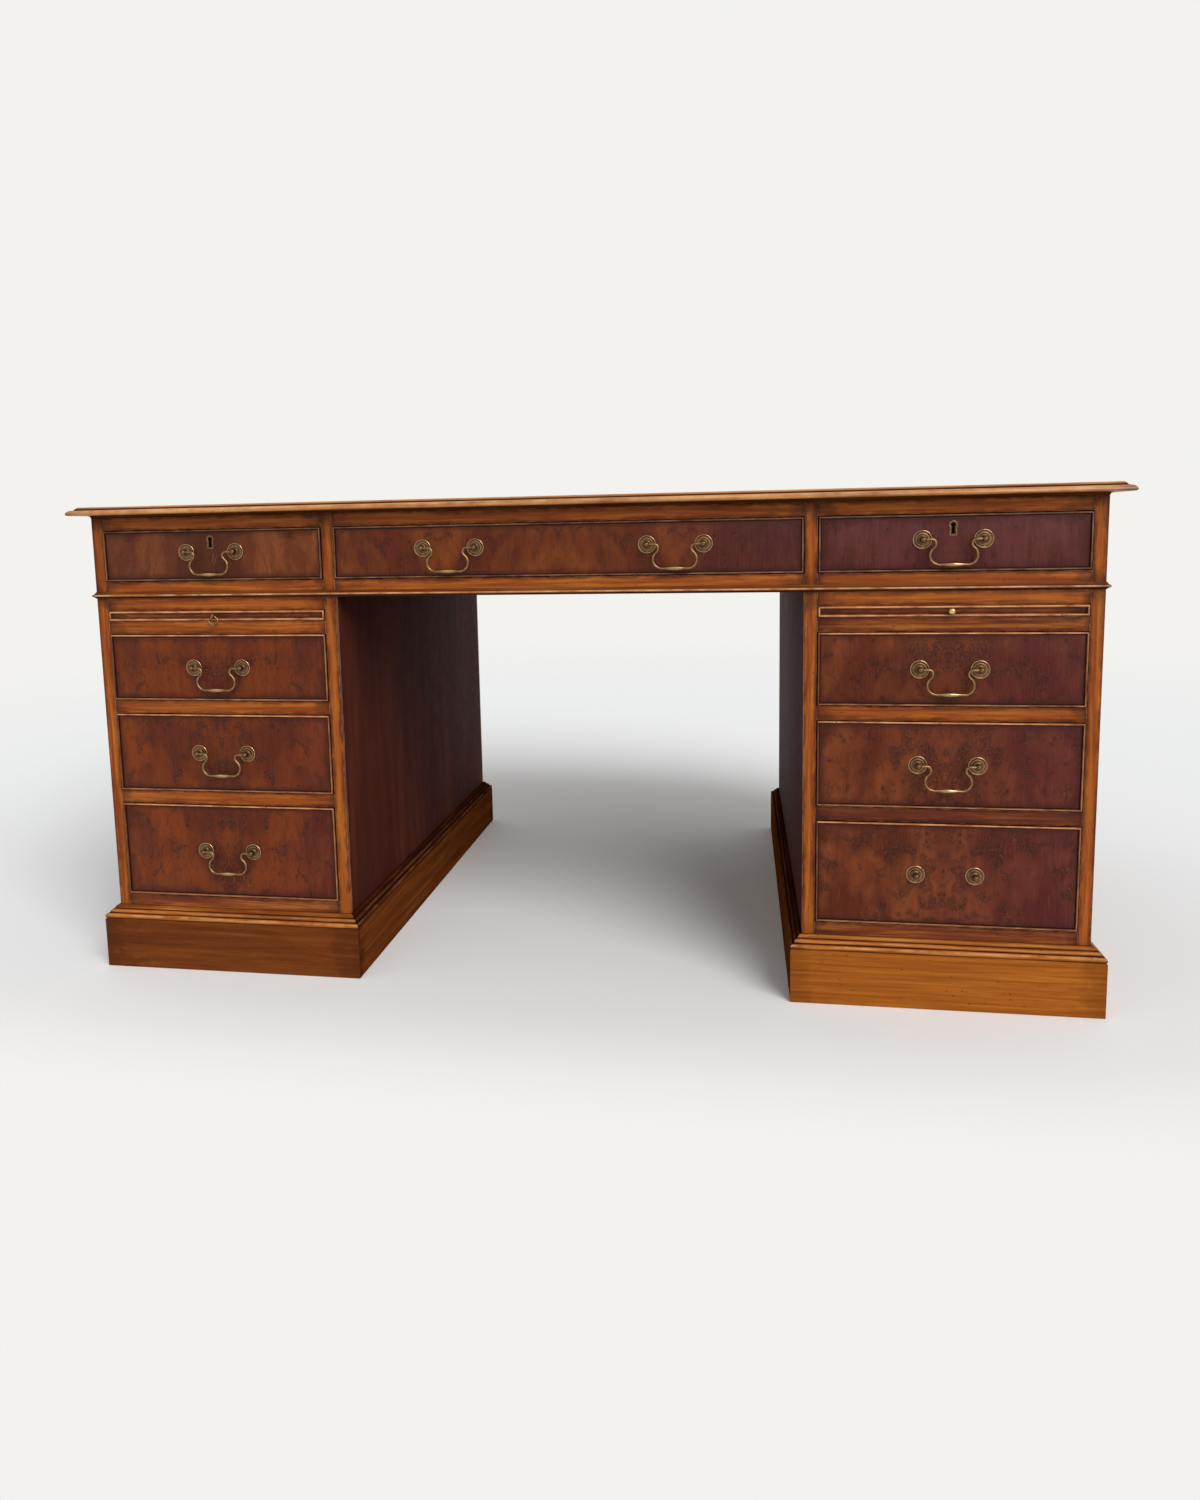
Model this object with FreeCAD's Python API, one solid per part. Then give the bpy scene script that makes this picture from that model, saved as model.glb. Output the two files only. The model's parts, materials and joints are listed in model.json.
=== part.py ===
"""Partners desk in three sections: a frieze section with a moulded, leather-lined top, on two pedestals.

Millimetres. +X to the sitter's right, +Y away from the front, +Z up. The origin is on the floor, under
the middle of the top. Each sub-part is one node, written as one STEP file of separate solids.
"""
import FreeCAD, Part
import math
import os

V = FreeCAD.Vector

# ---------------------------------------------------------------- driving dimensions (mm)
# Overall
TOP_LENGTH = 1604.0
TOP_DEPTH = 900.0
OVERHANG = 26.5            # top beyond the frieze, all round
KNEEHOLE_WIDTH = 724.0

# Heights, from the floor up
PLINTH_BOARD_H = 84.0
PLINTH_MOULDING_H = 19.0
BOTTOM_RAIL_H = 20.0
LOWER_OPENING_H = 158.5
CENTRE_OPENING_H = 131.0
UPPER_OPENING_H = 110.0
DRAWER_RAIL_H = 21.5
SLIDE_OPENING_H = 16.5
PEDESTAL_TOP_RAIL_H = 21.0
WAIST_MOULDING_H = 10.5
FRIEZE_LOWER_RAIL_H = 27.0
FRIEZE_OPENING_H = 83.0
FRIEZE_UPPER_RAIL_H = 20.5
TOP_THICKNESS = 18.0

# Carcass boards
PANEL_T = 19.0             # pedestal sides, frieze ends and dividers; their front edges are the stiles
RAIL_DEPTH = 45.0
RUNNER_WIDTH = 20.0
PARTITION_T = 15.0
PARTITION_SETBACK = 445.0  # front face of the frame to the partition behind the drawers
SHELF_T = 16.0
SHELF_HEIGHT = 235.0       # cupboard floor to the underside of its shelf
SHELF_SETBACK = 30.0       # shelf edge behind the cupboard door
STOP_LENGTH = 30.0
STOP_WIDTH = 20.0
STOP_T = 4.0
STOP_INSET = 60.0          # drawer stops from each side of an opening

# Plinths and mouldings
PLINTH_T = 18.0
PLINTH_EDGE_R = 2.5        # eased top edge of the plinth board
SKIRT_GAP = 0.7            # shadow line between the plinth board and its moulding
WAIST_PROJECTION = 5.3
WAIST_NOSE_H = 4.8         # round nose, between two coves
WAIST_NOSE_RUN = 2.4
WAIST_NOSE_LIFT = 2.3      # nose above the moulding's lower edge
WAIST_COVE_SAG = 0.35
WAIST_FILLET = 0.7         # left of its projection at its upper and lower edges
BASE_BEAD_H = 7.0
BASE_BEAD_INSET = 0.8      # lower edge of the bead behind the plinth board's face
BASE_BEAD_RUN = 3.7
BASE_BEAD_BOW = 2.4
BASE_QUIRK_RUN = 1.2       # step in above the bead, and again above the ovolo
BASE_QUIRK_RISE = 0.6
BASE_OVOLO_RUN = 4.4
BASE_OVOLO_RISE = 5.2
BASE_OVOLO_BOW = 1.2
BASE_ROUND_BOW = 0.9
BASE_LIP_WIDTH = 2.4       # flat left on top, out from the pedestal
TOP_MOULDING_WIDTH = 30.0
TOP_COVE_R = 4.5
TOP_NOSE_RISE = 2.9        # underside of the moulding up to its tip
TOP_OVOLO_RUN = 6.5
TOP_OVOLO_RISE = 5.5
TOP_OVOLO_BOW = 1.3
TOP_HOLLOW_RUN = 4.0
TOP_HOLLOW_RISE = 2.0
TOP_HOLLOW_SAG = 0.6
TOP_ROUND_RUN = 5.0
LEATHER_BORDER = 112.0     # crossbanded border between the edge moulding and the leather
LEATHER_T = 1.2

# Drawers
FRONT_T = 18.0
FRONT_GAP = 1.0
BEAD_WIDTH = 3.0
BEAD_PROJECTION = 2.5
RUN_CLEARANCE = 0.3        # between a sliding piece and what carries or stops it
DRAWER_SIDE_T = 10.0
DRAWER_BACK_T = 10.0
DRAWER_BOTTOM_T = 6.0
DRAWER_BOTTOM_LIFT = 9.0   # drawer bottom above the lower edges of the sides
DRAWER_SIDE_DROP = 7.0     # side tops below the opening
DRAWER_BACK_DROP = 5.0     # back below the side tops
DRAWER_BACK_GAP = 20.0     # pedestal drawers, from their backs to the partition
FRIEZE_DRAWER_DEPTH = 480.0

# Brushing slides
SLIDE_BACK_GAP = 45.0
SLIDE_LIPPING = 22.0
SLIDE_BEAD = 3.6
SLIDE_SUNK = 1.5           # strip inside the beads, behind the frame's face
SLIDE_KNOB_R = 5.0
SLIDE_KNOB_NECK_R = 2.6
SLIDE_KNOB_REACH = 12.0
LOOP_R = 7.8
LOOP_WIRE_R = 1.1
LOOP_STEPS = 10
EYE_R = 3.1
EYE_SHANK = 4.0

# Handles
HANDLE_SPAN = 84.0         # between the post centres
FRIEZE_HANDLE_RISE = 5.0   # above the middle of a frieze drawer
MIDDLE_HANDLE_OFFSET = 174.0
ROSE_R = 13.6
ROSE_RIM_T = 1.0
ROSE_DOME_T = 3.0
POST_R = 2.7
POST_HEAD_R = 3.4
PIVOT_REACH = 9.5          # bail axis in front of the drawer front
BAIL_WIRE_R = 1.7
BAIL_GRIP_R = 3.1
BAIL_PEG_CLEARANCE = 0.1
BAIL_HOOK_X = 24.5         # narrowest point of the neck, from the handle's centre
BAIL_HOOK_R = 5.5
BAIL_NECK_R = 9.0
BAIL_BELLY_R = 13.4
BAIL_FLARE = 50.0          # degrees that the neck leans outwards
WIRE_SIDES = 6             # flats round a wire, a turned piece, a bead nose and a turned ball
TURNED_SIDES = 8
NOSE_STEPS = 4
POST_BALL_STEPS = 2
KNOB_BALL_STEPS = 4
BALL_START = -50.0         # a turned ball leaves its neck and ends, degrees up from its widest ring
BALL_END = 65.0
FLATNESS = 1e-6
ESCUTCHEON_WIDTH = 12.0
ESCUTCHEON_HEIGHT = 21.5
ESCUTCHEON_NECK = 9.6      # width where the skirt leaves the round head
ESCUTCHEON_FOOT = 11.0
ESCUTCHEON_RIM = 3.1       # from the plate's outline in to the keyhole's, all round
ESCUTCHEON_T = 0.9
LOCK_WIDTH = 50.0
LOCK_HEIGHT = 36.0
LOCK_T = 9.0

# Cupboard doors and their butt hinges
DOOR_T = 20.0
DOOR_GAP = 1.6
DUMMY_GAP = 0.5
HINGE_LENGTH = 63.0
HINGE_LEAF_T = 0.7
HINGE_LEAF_WIDTH = 16.0    # leaf depth from the door's face
KNUCKLE_R = 3.0
HINGE_PIN_R = 1.5
HINGE_PIN_CLEARANCE = 0.05
KNUCKLE_GAP = 0.3
HINGE_FROM_END = 70.0      # door end to the middle of a hinge

# ---------------------------------------------------------------- places worked out from them
BODY_LENGTH = TOP_LENGTH - 2 * OVERHANG
BODY_DEPTH = TOP_DEPTH - 2 * OVERHANG
BODY_X = BODY_LENGTH / 2
FACE_Y = BODY_DEPTH / 2                       # front face at -FACE_Y, back face at +FACE_Y
KNEE_X = KNEEHOLE_WIDTH / 2
PEDESTAL_X = (KNEE_X + BODY_X) / 2
PEDESTAL_WIDTH = BODY_X - KNEE_X
OPENING_WIDTH = PEDESTAL_WIDTH - 2 * PANEL_T

PLINTH_TOP = PLINTH_BOARD_H + PLINTH_MOULDING_H
LOWER_Z = PLINTH_TOP + BOTTOM_RAIL_H
CENTRE_Z = LOWER_Z + LOWER_OPENING_H + DRAWER_RAIL_H
UPPER_Z = CENTRE_Z + CENTRE_OPENING_H + DRAWER_RAIL_H
SLIDE_Z = UPPER_Z + UPPER_OPENING_H + DRAWER_RAIL_H
PEDESTAL_TOP = SLIDE_Z + SLIDE_OPENING_H + PEDESTAL_TOP_RAIL_H
FRIEZE_Z = PEDESTAL_TOP + FRIEZE_LOWER_RAIL_H
FRIEZE_TOP = FRIEZE_Z + FRIEZE_OPENING_H + FRIEZE_UPPER_RAIL_H
DOOR_TOP = PEDESTAL_TOP - PEDESTAL_TOP_RAIL_H
PARTITION_Y = PARTITION_SETBACK - FACE_Y
DRAWER_DEPTH = PARTITION_SETBACK - DRAWER_BACK_GAP         # front face to back
SLIDE_DEPTH = PARTITION_SETBACK - SLIDE_BACK_GAP
RAIL_BACK_Y = RAIL_DEPTH - FACE_Y             # back of the front rails; the back rails mirror it

PEDESTALS = {"left": -1, "right": 1}
PEDESTAL_DRAWERS = {"lower": (LOWER_Z, LOWER_OPENING_H), "centre": (CENTRE_Z, CENTRE_OPENING_H),
                    "upper": (UPPER_Z, UPPER_OPENING_H)}
FRIEZE_DRAWERS = {"left": (-PEDESTAL_X, OPENING_WIDTH), "middle": (0.0, KNEEHOLE_WIDTH),
                  "right": (PEDESTAL_X, OPENING_WIDTH)}


# ---------------------------------------------------------------- helpers
def board(x0, x1, y0, y1, z0, z1):
    """A rectangular board between three pairs of limits."""
    return Part.makeBox(x1 - x0, y1 - y0, z1 - z0, V(x0, y0, z0))


def outline(start, *steps):
    """A closed flat face in the YZ plane. A step is a point, or (middle, end) of an arc."""
    here = V(0, *start)
    edges = []
    for step in steps:
        if isinstance(step[0], tuple):
            middle, end = (V(0, *point) for point in step)
            edges.append(Part.Arc(here, middle, end).toShape())
        else:
            end = V(0, *step)
            edges.append(Part.makeLine(here, end))
        here = end
    edges.append(Part.makeLine(here, V(0, *start)))
    return Part.Face(Part.Wire(edges))


def arc_middle(start, end, centre):
    """Middle point of the shorter arc from start to end about centre."""
    radius = math.hypot(start[0] - centre[0], start[1] - centre[1])
    dx = (start[0] + end[0]) / 2 - centre[0]
    dz = (start[1] + end[1]) / 2 - centre[1]
    size = math.hypot(dx, dz)
    return (centre[0] + dx * radius / size, centre[1] + dz * radius / size)


def around(start, end, centre):
    """An outline step that follows the arc about centre from start to end."""
    return (arc_middle(start, end, centre), end)


def bowed(start, end, bow):
    """An outline step along an arc that stands off the straight line by bow, to its left."""
    dx = end[0] - start[0]
    dz = end[1] - start[1]
    size = math.hypot(dx, dz)
    middle = ((start[0] + end[0]) / 2 - dz * bow / size, (start[1] + end[1]) / 2 + dx * bow / size)
    return (middle, end)


def mitred_length(face, inset, length, depth):
    """The -Y length of a mitred frame: a section of (inset, height), cut at 45 degrees at both ends."""
    bar = face.translated(V(-length / 2, -depth / 2, 0)).extrude(V(length, 0, 0))
    low = bar.BoundBox.ZMin
    high = bar.BoundBox.ZMax
    near = V(-length / 2, -depth / 2, low)
    trapezium = [near, near + V(length, 0, 0), near + V(length - inset, inset, 0), near + V(inset, inset, 0)]
    plan = Part.Face(Part.makePolygon(trapezium + [near]))
    return bar.common(plan.extrude(V(0, 0, high - low))).Solids[0]


def mitred_frame(face, inset, length, depth):
    """Four mitred lengths of one section round a rectangle, lying flat and centred on the origin."""
    lengths = []
    for angle, run, across in ((0, length, depth), (90, depth, length), (180, length, depth),
                               (270, depth, length)):
        bar = mitred_length(face, inset, run, across)
        bar.rotate(V(0, 0, 0), V(0, 0, 1), angle)
        lengths.append(bar)
    return lengths


def stand_up(shapes, x, y, z, facing):
    """Turn what lies flat on the origin to stand at (x, y, z), facing the front (-1) or the back (+1)."""
    placed = []
    for shape in shapes:
        copy = shape.copy()
        copy.rotate(V(0, 0, 0), V(1, 0, 0), 90)
        if facing > 0:
            copy.rotate(V(0, 0, 0), V(0, 0, 1), 180)
        copy.translate(V(x, y, z))
        placed.append(copy)
    return placed


def moved(shapes, x, y, z):
    """Copies of the shapes, moved."""
    return [shape.translated(V(x, y, z)) for shape in shapes]


def flat_faces(corners):
    """One face through four corners, or two triangles where they don't lie in one plane."""
    a, b, c, d = corners
    normal = (b - a).cross(c - a).normalize()
    if abs((d - a).dot(normal)) < FLATNESS:
        return [Part.Face(Part.makePolygon([a, b, c, d, a]))]
    return [Part.Face(Part.makePolygon([a, b, c, a])), Part.Face(Part.makePolygon([a, c, d, a]))]


def skin(rings, closed=False):
    """A solid skinned over rings of points: flats from each ring to the next, and a face at each open end."""
    faces = []
    pairs = list(zip(rings, rings[1:] + rings[:1])) if closed else list(zip(rings, rings[1:]))
    for ring, following in pairs:
        for k in range(len(ring)):
            j = (k + 1) % len(ring)
            faces += flat_faces((ring[k], ring[j], following[j], following[k]))
    if not closed:
        faces += [Part.Face(Part.makePolygon(ring + ring[:1])) for ring in (rings[0], rings[-1])]
    solid = Part.makeSolid(Part.makeShell(faces))
    if solid.Volume < 0:
        solid.reverse()
    return solid


def turned(profile):
    """A small turned piece about Z, in TURNED_SIDES flats. The profile is (radius, height) up its side."""
    rings = []
    for radius, height in profile:
        angles = [2 * math.pi * (k + 0.5) / TURNED_SIDES for k in range(TURNED_SIDES)]
        rings.append([V(radius * math.cos(angle), radius * math.sin(angle), height) for angle in angles])
    return skin(rings)


def wire_rod(points, radii, across, closed=False):
    """A bent rod of WIRE_SIDES flats, with a section in the mitre plane at each point.

    The points lie in a plane whose normal is across.
    """
    rings = []
    last = len(points) - 1
    for i, point in enumerate(points):
        before = points[i - 1] if i > 0 or closed else point * 2 - points[1]
        after = points[(i + 1) % len(points)] if i < last or closed else point * 2 - points[last - 1]
        leaving = (after - point).normalize()
        along = ((point - before).normalize() + leaving).normalize()
        side = across.cross(along).normalize() * (radii[i] / along.dot(leaving))
        ring = []
        for k in range(WIRE_SIDES):
            angle = 2 * math.pi * (k + 0.5) / WIRE_SIDES
            ring.append(point + across * (radii[i] * math.cos(angle)) + side * math.sin(angle))
        rings.append(ring)
    return skin(rings, closed)


def round_points(centre, radius, start, end, steps):
    """Points along an arc of an outline, first and last included. Angles in degrees."""
    angles = [math.radians(start + (end - start) * k / steps) for k in range(steps + 1)]
    return [(centre[0] + radius * math.cos(angle), centre[1] + radius * math.sin(angle)) for angle in angles]


def write(node, solids):
    """Write one node: its solids, kept separate."""
    Part.makeCompound(solids).exportStep("parts/" + node + ".step")


# ---------------------------------------------------------------- top
def top_moulding_face():
    """Section of the top's edge: cove under the frieze edge, thin nose, ovolo, hollow and top round."""
    base = FRIEZE_TOP
    top = base + TOP_THICKNESS
    under = base + TOP_COVE_R
    cove_in = (OVERHANG, base)
    cove_out = (OVERHANG - TOP_COVE_R, under)
    nose_in = (TOP_NOSE_RISE, under)
    tip = (0.0, under + TOP_NOSE_RISE)
    ovolo_end = (TOP_OVOLO_RUN, tip[1] + TOP_OVOLO_RISE)
    hollow_end = (ovolo_end[0] + TOP_HOLLOW_RUN, ovolo_end[1] + TOP_HOLLOW_RISE)
    round_end = (hollow_end[0] + TOP_ROUND_RUN, top)
    round_rise = top - hollow_end[1]
    round_r = (TOP_ROUND_RUN ** 2 + round_rise ** 2) / (2 * round_rise)     # level where it meets the top
    return outline((TOP_MOULDING_WIDTH, base), cove_in, around(cove_in, cove_out, (cove_out[0], base)),
                   nose_in, around(nose_in, tip, (TOP_NOSE_RISE, tip[1])),
                   bowed(tip, ovolo_end, TOP_OVOLO_BOW), bowed(ovolo_end, hollow_end, -TOP_HOLLOW_SAG),
                   around(hollow_end, round_end, (round_end[0], top - round_r)), (TOP_MOULDING_WIDTH, top))


def top():
    """Core board, crossbanded border, edge moulding and leather."""
    top_z = FRIEZE_TOP + TOP_THICKNESS
    band_z = top_z - LEATHER_T
    core_length = TOP_LENGTH - 2 * TOP_MOULDING_WIDTH
    core_depth = TOP_DEPTH - 2 * TOP_MOULDING_WIDTH
    core = board(-core_length / 2, core_length / 2, -core_depth / 2, core_depth / 2, FRIEZE_TOP, band_z)
    band = outline((0, band_z), (LEATHER_BORDER, band_z), (LEATHER_BORDER, top_z), (0, top_z))
    write("top_panel", [core] + mitred_frame(band, LEATHER_BORDER, core_length, core_depth))
    write("top_edge_moulding", mitred_frame(top_moulding_face(), TOP_MOULDING_WIDTH, TOP_LENGTH, TOP_DEPTH))
    leather_x = core_length / 2 - LEATHER_BORDER
    leather_y = core_depth / 2 - LEATHER_BORDER
    write("leather_inset", [board(-leather_x, leather_x, -leather_y, leather_y, band_z, top_z)])


# ---------------------------------------------------------------- frieze section
def frieze_frame():
    """Ends, dividers, rails front and back, drawer runners and stops."""
    solids = []
    walls = (-BODY_X, -KNEE_X - PANEL_T, KNEE_X, BODY_X - PANEL_T)
    for x in walls:
        solids.append(board(x, x + PANEL_T, -FACE_Y, FACE_Y, PEDESTAL_TOP, FRIEZE_TOP))
    for centre, width in FRIEZE_DRAWERS.values():
        x0 = centre - width / 2
        x1 = centre + width / 2
        for y0, y1 in ((-FACE_Y, RAIL_BACK_Y), (-RAIL_BACK_Y, FACE_Y)):
            solids.append(board(x0, x1, y0, y1, PEDESTAL_TOP, FRIEZE_Z))
            solids.append(board(x0, x1, y0, y1, FRIEZE_TOP - FRIEZE_UPPER_RAIL_H, FRIEZE_TOP))
        for x in (x0, x1 - RUNNER_WIDTH):
            solids.append(board(x, x + RUNNER_WIDTH, RAIL_BACK_Y, -RAIL_BACK_Y, PEDESTAL_TOP, FRIEZE_Z))
        solids += drawer_stops(centre, width, FRIEZE_Z)
    write("frieze_frame", solids)


def drawer_stops(centre, width, floor):
    """Two blocks on a rail, which the back of the drawer front meets when the drawer is shut."""
    y0 = FRONT_T - FACE_Y + RUN_CLEARANCE
    stops = []
    for side in (-1, 1):
        middle = centre + side * (width / 2 - STOP_INSET)
        stops.append(board(middle - STOP_LENGTH / 2, middle + STOP_LENGTH / 2, y0, y0 + STOP_WIDTH,
                           floor, floor + STOP_T))
    return stops


def waist_moulding():
    """Moulding planted round the lower edge of the frieze: a round nose between two small coves."""
    low = PEDESTAL_TOP
    high = low + WAIST_MOULDING_H
    lower_lip = (WAIST_PROJECTION - WAIST_FILLET, low)
    nose_start = (WAIST_NOSE_RUN, low + WAIST_NOSE_LIFT)
    nose_end = (WAIST_NOSE_RUN, nose_start[1] + WAIST_NOSE_H)
    upper_lip = (lower_lip[0], high)
    face = outline((WAIST_PROJECTION, low), lower_lip, bowed(lower_lip, nose_start, -WAIST_COVE_SAG),
                   bowed(nose_start, nose_end, WAIST_NOSE_RUN), bowed(nose_end, upper_lip, -WAIST_COVE_SAG),
                   (WAIST_PROJECTION, high))
    write("waist_moulding", mitred_frame(face, WAIST_PROJECTION, BODY_LENGTH + 2 * WAIST_PROJECTION,
                                         BODY_DEPTH + 2 * WAIST_PROJECTION))


# ---------------------------------------------------------------- pedestals
def pedestal_carcass(name, side):
    """Sides, rails, runners, bottom, top, partition and cupboard shelf of one pedestal."""
    x0 = side * PEDESTAL_X - PEDESTAL_WIDTH / 2
    x1 = side * PEDESTAL_X + PEDESTAL_WIDTH / 2
    in0 = x0 + PANEL_T
    in1 = x1 - PANEL_T
    front = -FACE_Y
    solids = [board(x0, in0, front, FACE_Y, 0, PEDESTAL_TOP), board(in1, x1, front, FACE_Y, 0, PEDESTAL_TOP)]
    for y0, y1 in ((front, RAIL_BACK_Y), (-RAIL_BACK_Y, FACE_Y)):
        solids.append(board(in0, in1, y0, y1, PLINTH_BOARD_H, LOWER_Z))
        solids.append(board(in0, in1, y0, y1, DOOR_TOP, PEDESTAL_TOP))
    solids.append(board(in0, in1, RAIL_BACK_Y, -RAIL_BACK_Y, PLINTH_TOP, LOWER_Z))
    solids.append(board(in0, in1, RAIL_BACK_Y, -RAIL_BACK_Y, DOOR_TOP, PEDESTAL_TOP))
    for top_z in (CENTRE_Z, UPPER_Z, SLIDE_Z):
        low_z = top_z - DRAWER_RAIL_H
        solids.append(board(in0, in1, front, RAIL_BACK_Y, low_z, top_z))
        for x in (in0, in1 - RUNNER_WIDTH):
            solids.append(board(x, x + RUNNER_WIDTH, RAIL_BACK_Y, PARTITION_Y, low_z, top_z))
    for floor in (LOWER_Z, CENTRE_Z, UPPER_Z):
        solids += drawer_stops(side * PEDESTAL_X, OPENING_WIDTH, floor)
    solids.append(board(in0, in1, PARTITION_Y, PARTITION_Y + PARTITION_T, LOWER_Z, DOOR_TOP))
    shelf_z = LOWER_Z + SHELF_HEIGHT
    solids.append(board(in0, in1, PARTITION_Y + PARTITION_T, FACE_Y - DOOR_T - SHELF_SETBACK,
                        shelf_z, shelf_z + SHELF_T))
    write(name + "_pedestal_carcass", solids)


def plinth_moulding_face():
    """Section of the plinth moulding: bead, ovolo and top round, with a small quirk below each of the two."""
    foot = PLINTH_BOARD_H + SKIRT_GAP
    bead_foot = (BASE_BEAD_INSET, foot)
    bead_end = (BASE_BEAD_INSET + BASE_BEAD_RUN, foot + BASE_BEAD_H)
    ovolo_foot = (bead_end[0] + BASE_QUIRK_RUN, bead_end[1] + BASE_QUIRK_RISE)
    ovolo_end = (ovolo_foot[0] + BASE_OVOLO_RUN, ovolo_foot[1] + BASE_OVOLO_RISE)
    round_foot = (ovolo_end[0] + BASE_QUIRK_RUN, ovolo_end[1] + BASE_QUIRK_RISE)
    round_end = (PLINTH_T - BASE_LIP_WIDTH, PLINTH_TOP)
    return outline((PLINTH_T, foot), bead_foot, bowed(bead_foot, bead_end, BASE_BEAD_BOW), ovolo_foot,
                   bowed(ovolo_foot, ovolo_end, BASE_OVOLO_BOW), round_foot,
                   bowed(round_foot, round_end, BASE_ROUND_BOW), (PLINTH_T, PLINTH_TOP))


def plinth(name, side):
    """Four mitred plinth boards round the foot of a pedestal, and the moulding on them."""
    length = PEDESTAL_WIDTH + 2 * PLINTH_T
    depth = BODY_DEPTH + 2 * PLINTH_T
    ease = PLINTH_EDGE_R
    eased_foot = (0, PLINTH_BOARD_H - ease)
    face = outline((PLINTH_T, 0), (0, 0), eased_foot,
                   around(eased_foot, (ease, PLINTH_BOARD_H), (ease, eased_foot[1])),
                   (PLINTH_T, PLINTH_BOARD_H))
    solids = mitred_frame(face, PLINTH_T, length, depth)
    solids += mitred_frame(plinth_moulding_face(), PLINTH_T, length, depth)
    write(name + "_plinth", moved(solids, side * PEDESTAL_X, 0, 0))


# ---------------------------------------------------------------- beaded fronts, drawers and doors
def bead_face(thickness):
    """Section of a cock bead: full thickness of the front, with a round nose that stands proud."""
    nose = BEAD_WIDTH / 2
    return outline((0, -thickness), *round_points((nose, BEAD_PROJECTION - nose), nose, 180, 0, NOSE_STEPS),
                   (BEAD_WIDTH, -thickness))


def beaded_front(x, z0, width, height, gap, thickness, facing):
    """A veneered board and its four cock beads, flush with the face, in an opening of width by height."""
    outer_w = width - 2 * gap
    outer_h = height - 2 * gap
    core_w = outer_w - 2 * BEAD_WIDTH
    core_h = outer_h - 2 * BEAD_WIDTH
    core = board(-core_w / 2, core_w / 2, -core_h / 2, core_h / 2, -thickness, 0)
    beads = mitred_frame(bead_face(thickness), BEAD_WIDTH, outer_w, outer_h)
    return stand_up([core] + beads, x, facing * FACE_Y, z0 + height / 2, facing)


def drawer_box(x, z0, width, height, depth):
    """Sides, back and bottom of a drawer, behind its front."""
    outer = width / 2 - FRONT_GAP
    inner = outer - DRAWER_SIDE_T
    y0 = FRONT_T - FACE_Y
    y1 = depth - FACE_Y
    low = z0 + RUN_CLEARANCE
    floor = low + DRAWER_BOTTOM_LIFT
    side_top = z0 + height - DRAWER_SIDE_DROP
    back_top = side_top - DRAWER_BACK_DROP
    return [
        board(x - outer, x - inner, y0, y1, low, side_top),
        board(x + inner, x + outer, y0, y1, low, side_top),
        board(x - inner, x + inner, y0, y1, floor, floor + DRAWER_BOTTOM_T),
        board(x - inner, x + inner, y1 - DRAWER_BACK_T, y1, floor + DRAWER_BOTTOM_T, back_top),
    ]


# ---------------------------------------------------------------- brass
def rose_with_post(side):
    """Round rose and its post, lying flat with its back on the origin; the head is bored on one side."""
    disc = [(ROSE_R, 0), (ROSE_R, ROSE_RIM_T), (POST_R, ROSE_DOME_T), (POST_R, PIVOT_REACH - POST_HEAD_R)]
    head = round_points((0, PIVOT_REACH), POST_HEAD_R, BALL_START, BALL_END, POST_BALL_STEPS)
    bore_r = (BAIL_WIRE_R + BAIL_PEG_CLEARANCE) / math.cos(math.pi / WIRE_SIDES)
    centre = V(0, 0, PIVOT_REACH)
    bore = wire_rod([centre, centre + V(side * HANDLE_SPAN / 2, 0, 0)], [bore_r, bore_r], V(0, 0, 1))
    return turned(disc + head).cut(bore).Solids[0]


def handle_posts(x, z, facing):
    """The two roses of one bail, bored towards each other."""
    solids = []
    for side in (-1, 1):
        rose = rose_with_post(side * facing)
        solids += stand_up([rose], x + side * HANDLE_SPAN / 2, facing * FACE_Y, z, facing)
    return solids


def bail_points():
    """Centre line of half a bail in its hanging plane, as (x, z) from the pivot, and its radii.

    Peg in the post, hook inwards and down, neck leaning outwards, belly, and the straight grip.
    """
    points = [V(HANDLE_SPAN / 2, 0, 0)]
    radii = [BAIL_WIRE_R]
    hook_x = BAIL_HOOK_X + BAIL_HOOK_R
    flare = math.radians(BAIL_FLARE)
    neck_x = BAIL_HOOK_X + BAIL_NECK_R
    belly_x = neck_x - (BAIL_NECK_R + BAIL_BELLY_R) * math.cos(flare)
    belly_z = -BAIL_HOOK_R - (BAIL_NECK_R + BAIL_BELLY_R) * math.sin(flare)
    arcs = (
        (V(hook_x, 0, -BAIL_HOOK_R), BAIL_HOOK_R, math.pi / 2, math.pi, 2),
        (V(neck_x, 0, -BAIL_HOOK_R), BAIL_NECK_R, math.pi, math.pi + flare, 2),
        (V(belly_x, 0, belly_z), BAIL_BELLY_R, flare, -math.pi / 2, 3),
    )
    for centre, radius, start, end, steps in arcs:
        for k in range(steps + 1):
            angle = start + (end - start) * k / steps
            point = centre + V(radius * math.cos(angle), 0, radius * math.sin(angle))
            if (point - points[-1]).Length > BAIL_WIRE_R / 2:
                points.append(point)
                radii.append(BAIL_WIRE_R)
    points.append(V(0, 0, points[-1].z))
    radii.append(BAIL_GRIP_R)
    return points, radii


def bail(x, z, facing):
    """One swan-neck bail, hanging from its two posts."""
    half, half_radii = bail_points()
    points = half + [V(-p.x, p.y, p.z) for p in reversed(half[:-1])]
    radii = half_radii + list(reversed(half_radii[:-1]))
    rod = wire_rod(points, radii, V(0, 1, 0))
    return rod.translated(V(x, facing * (FACE_Y + PIVOT_REACH), z))


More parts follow.
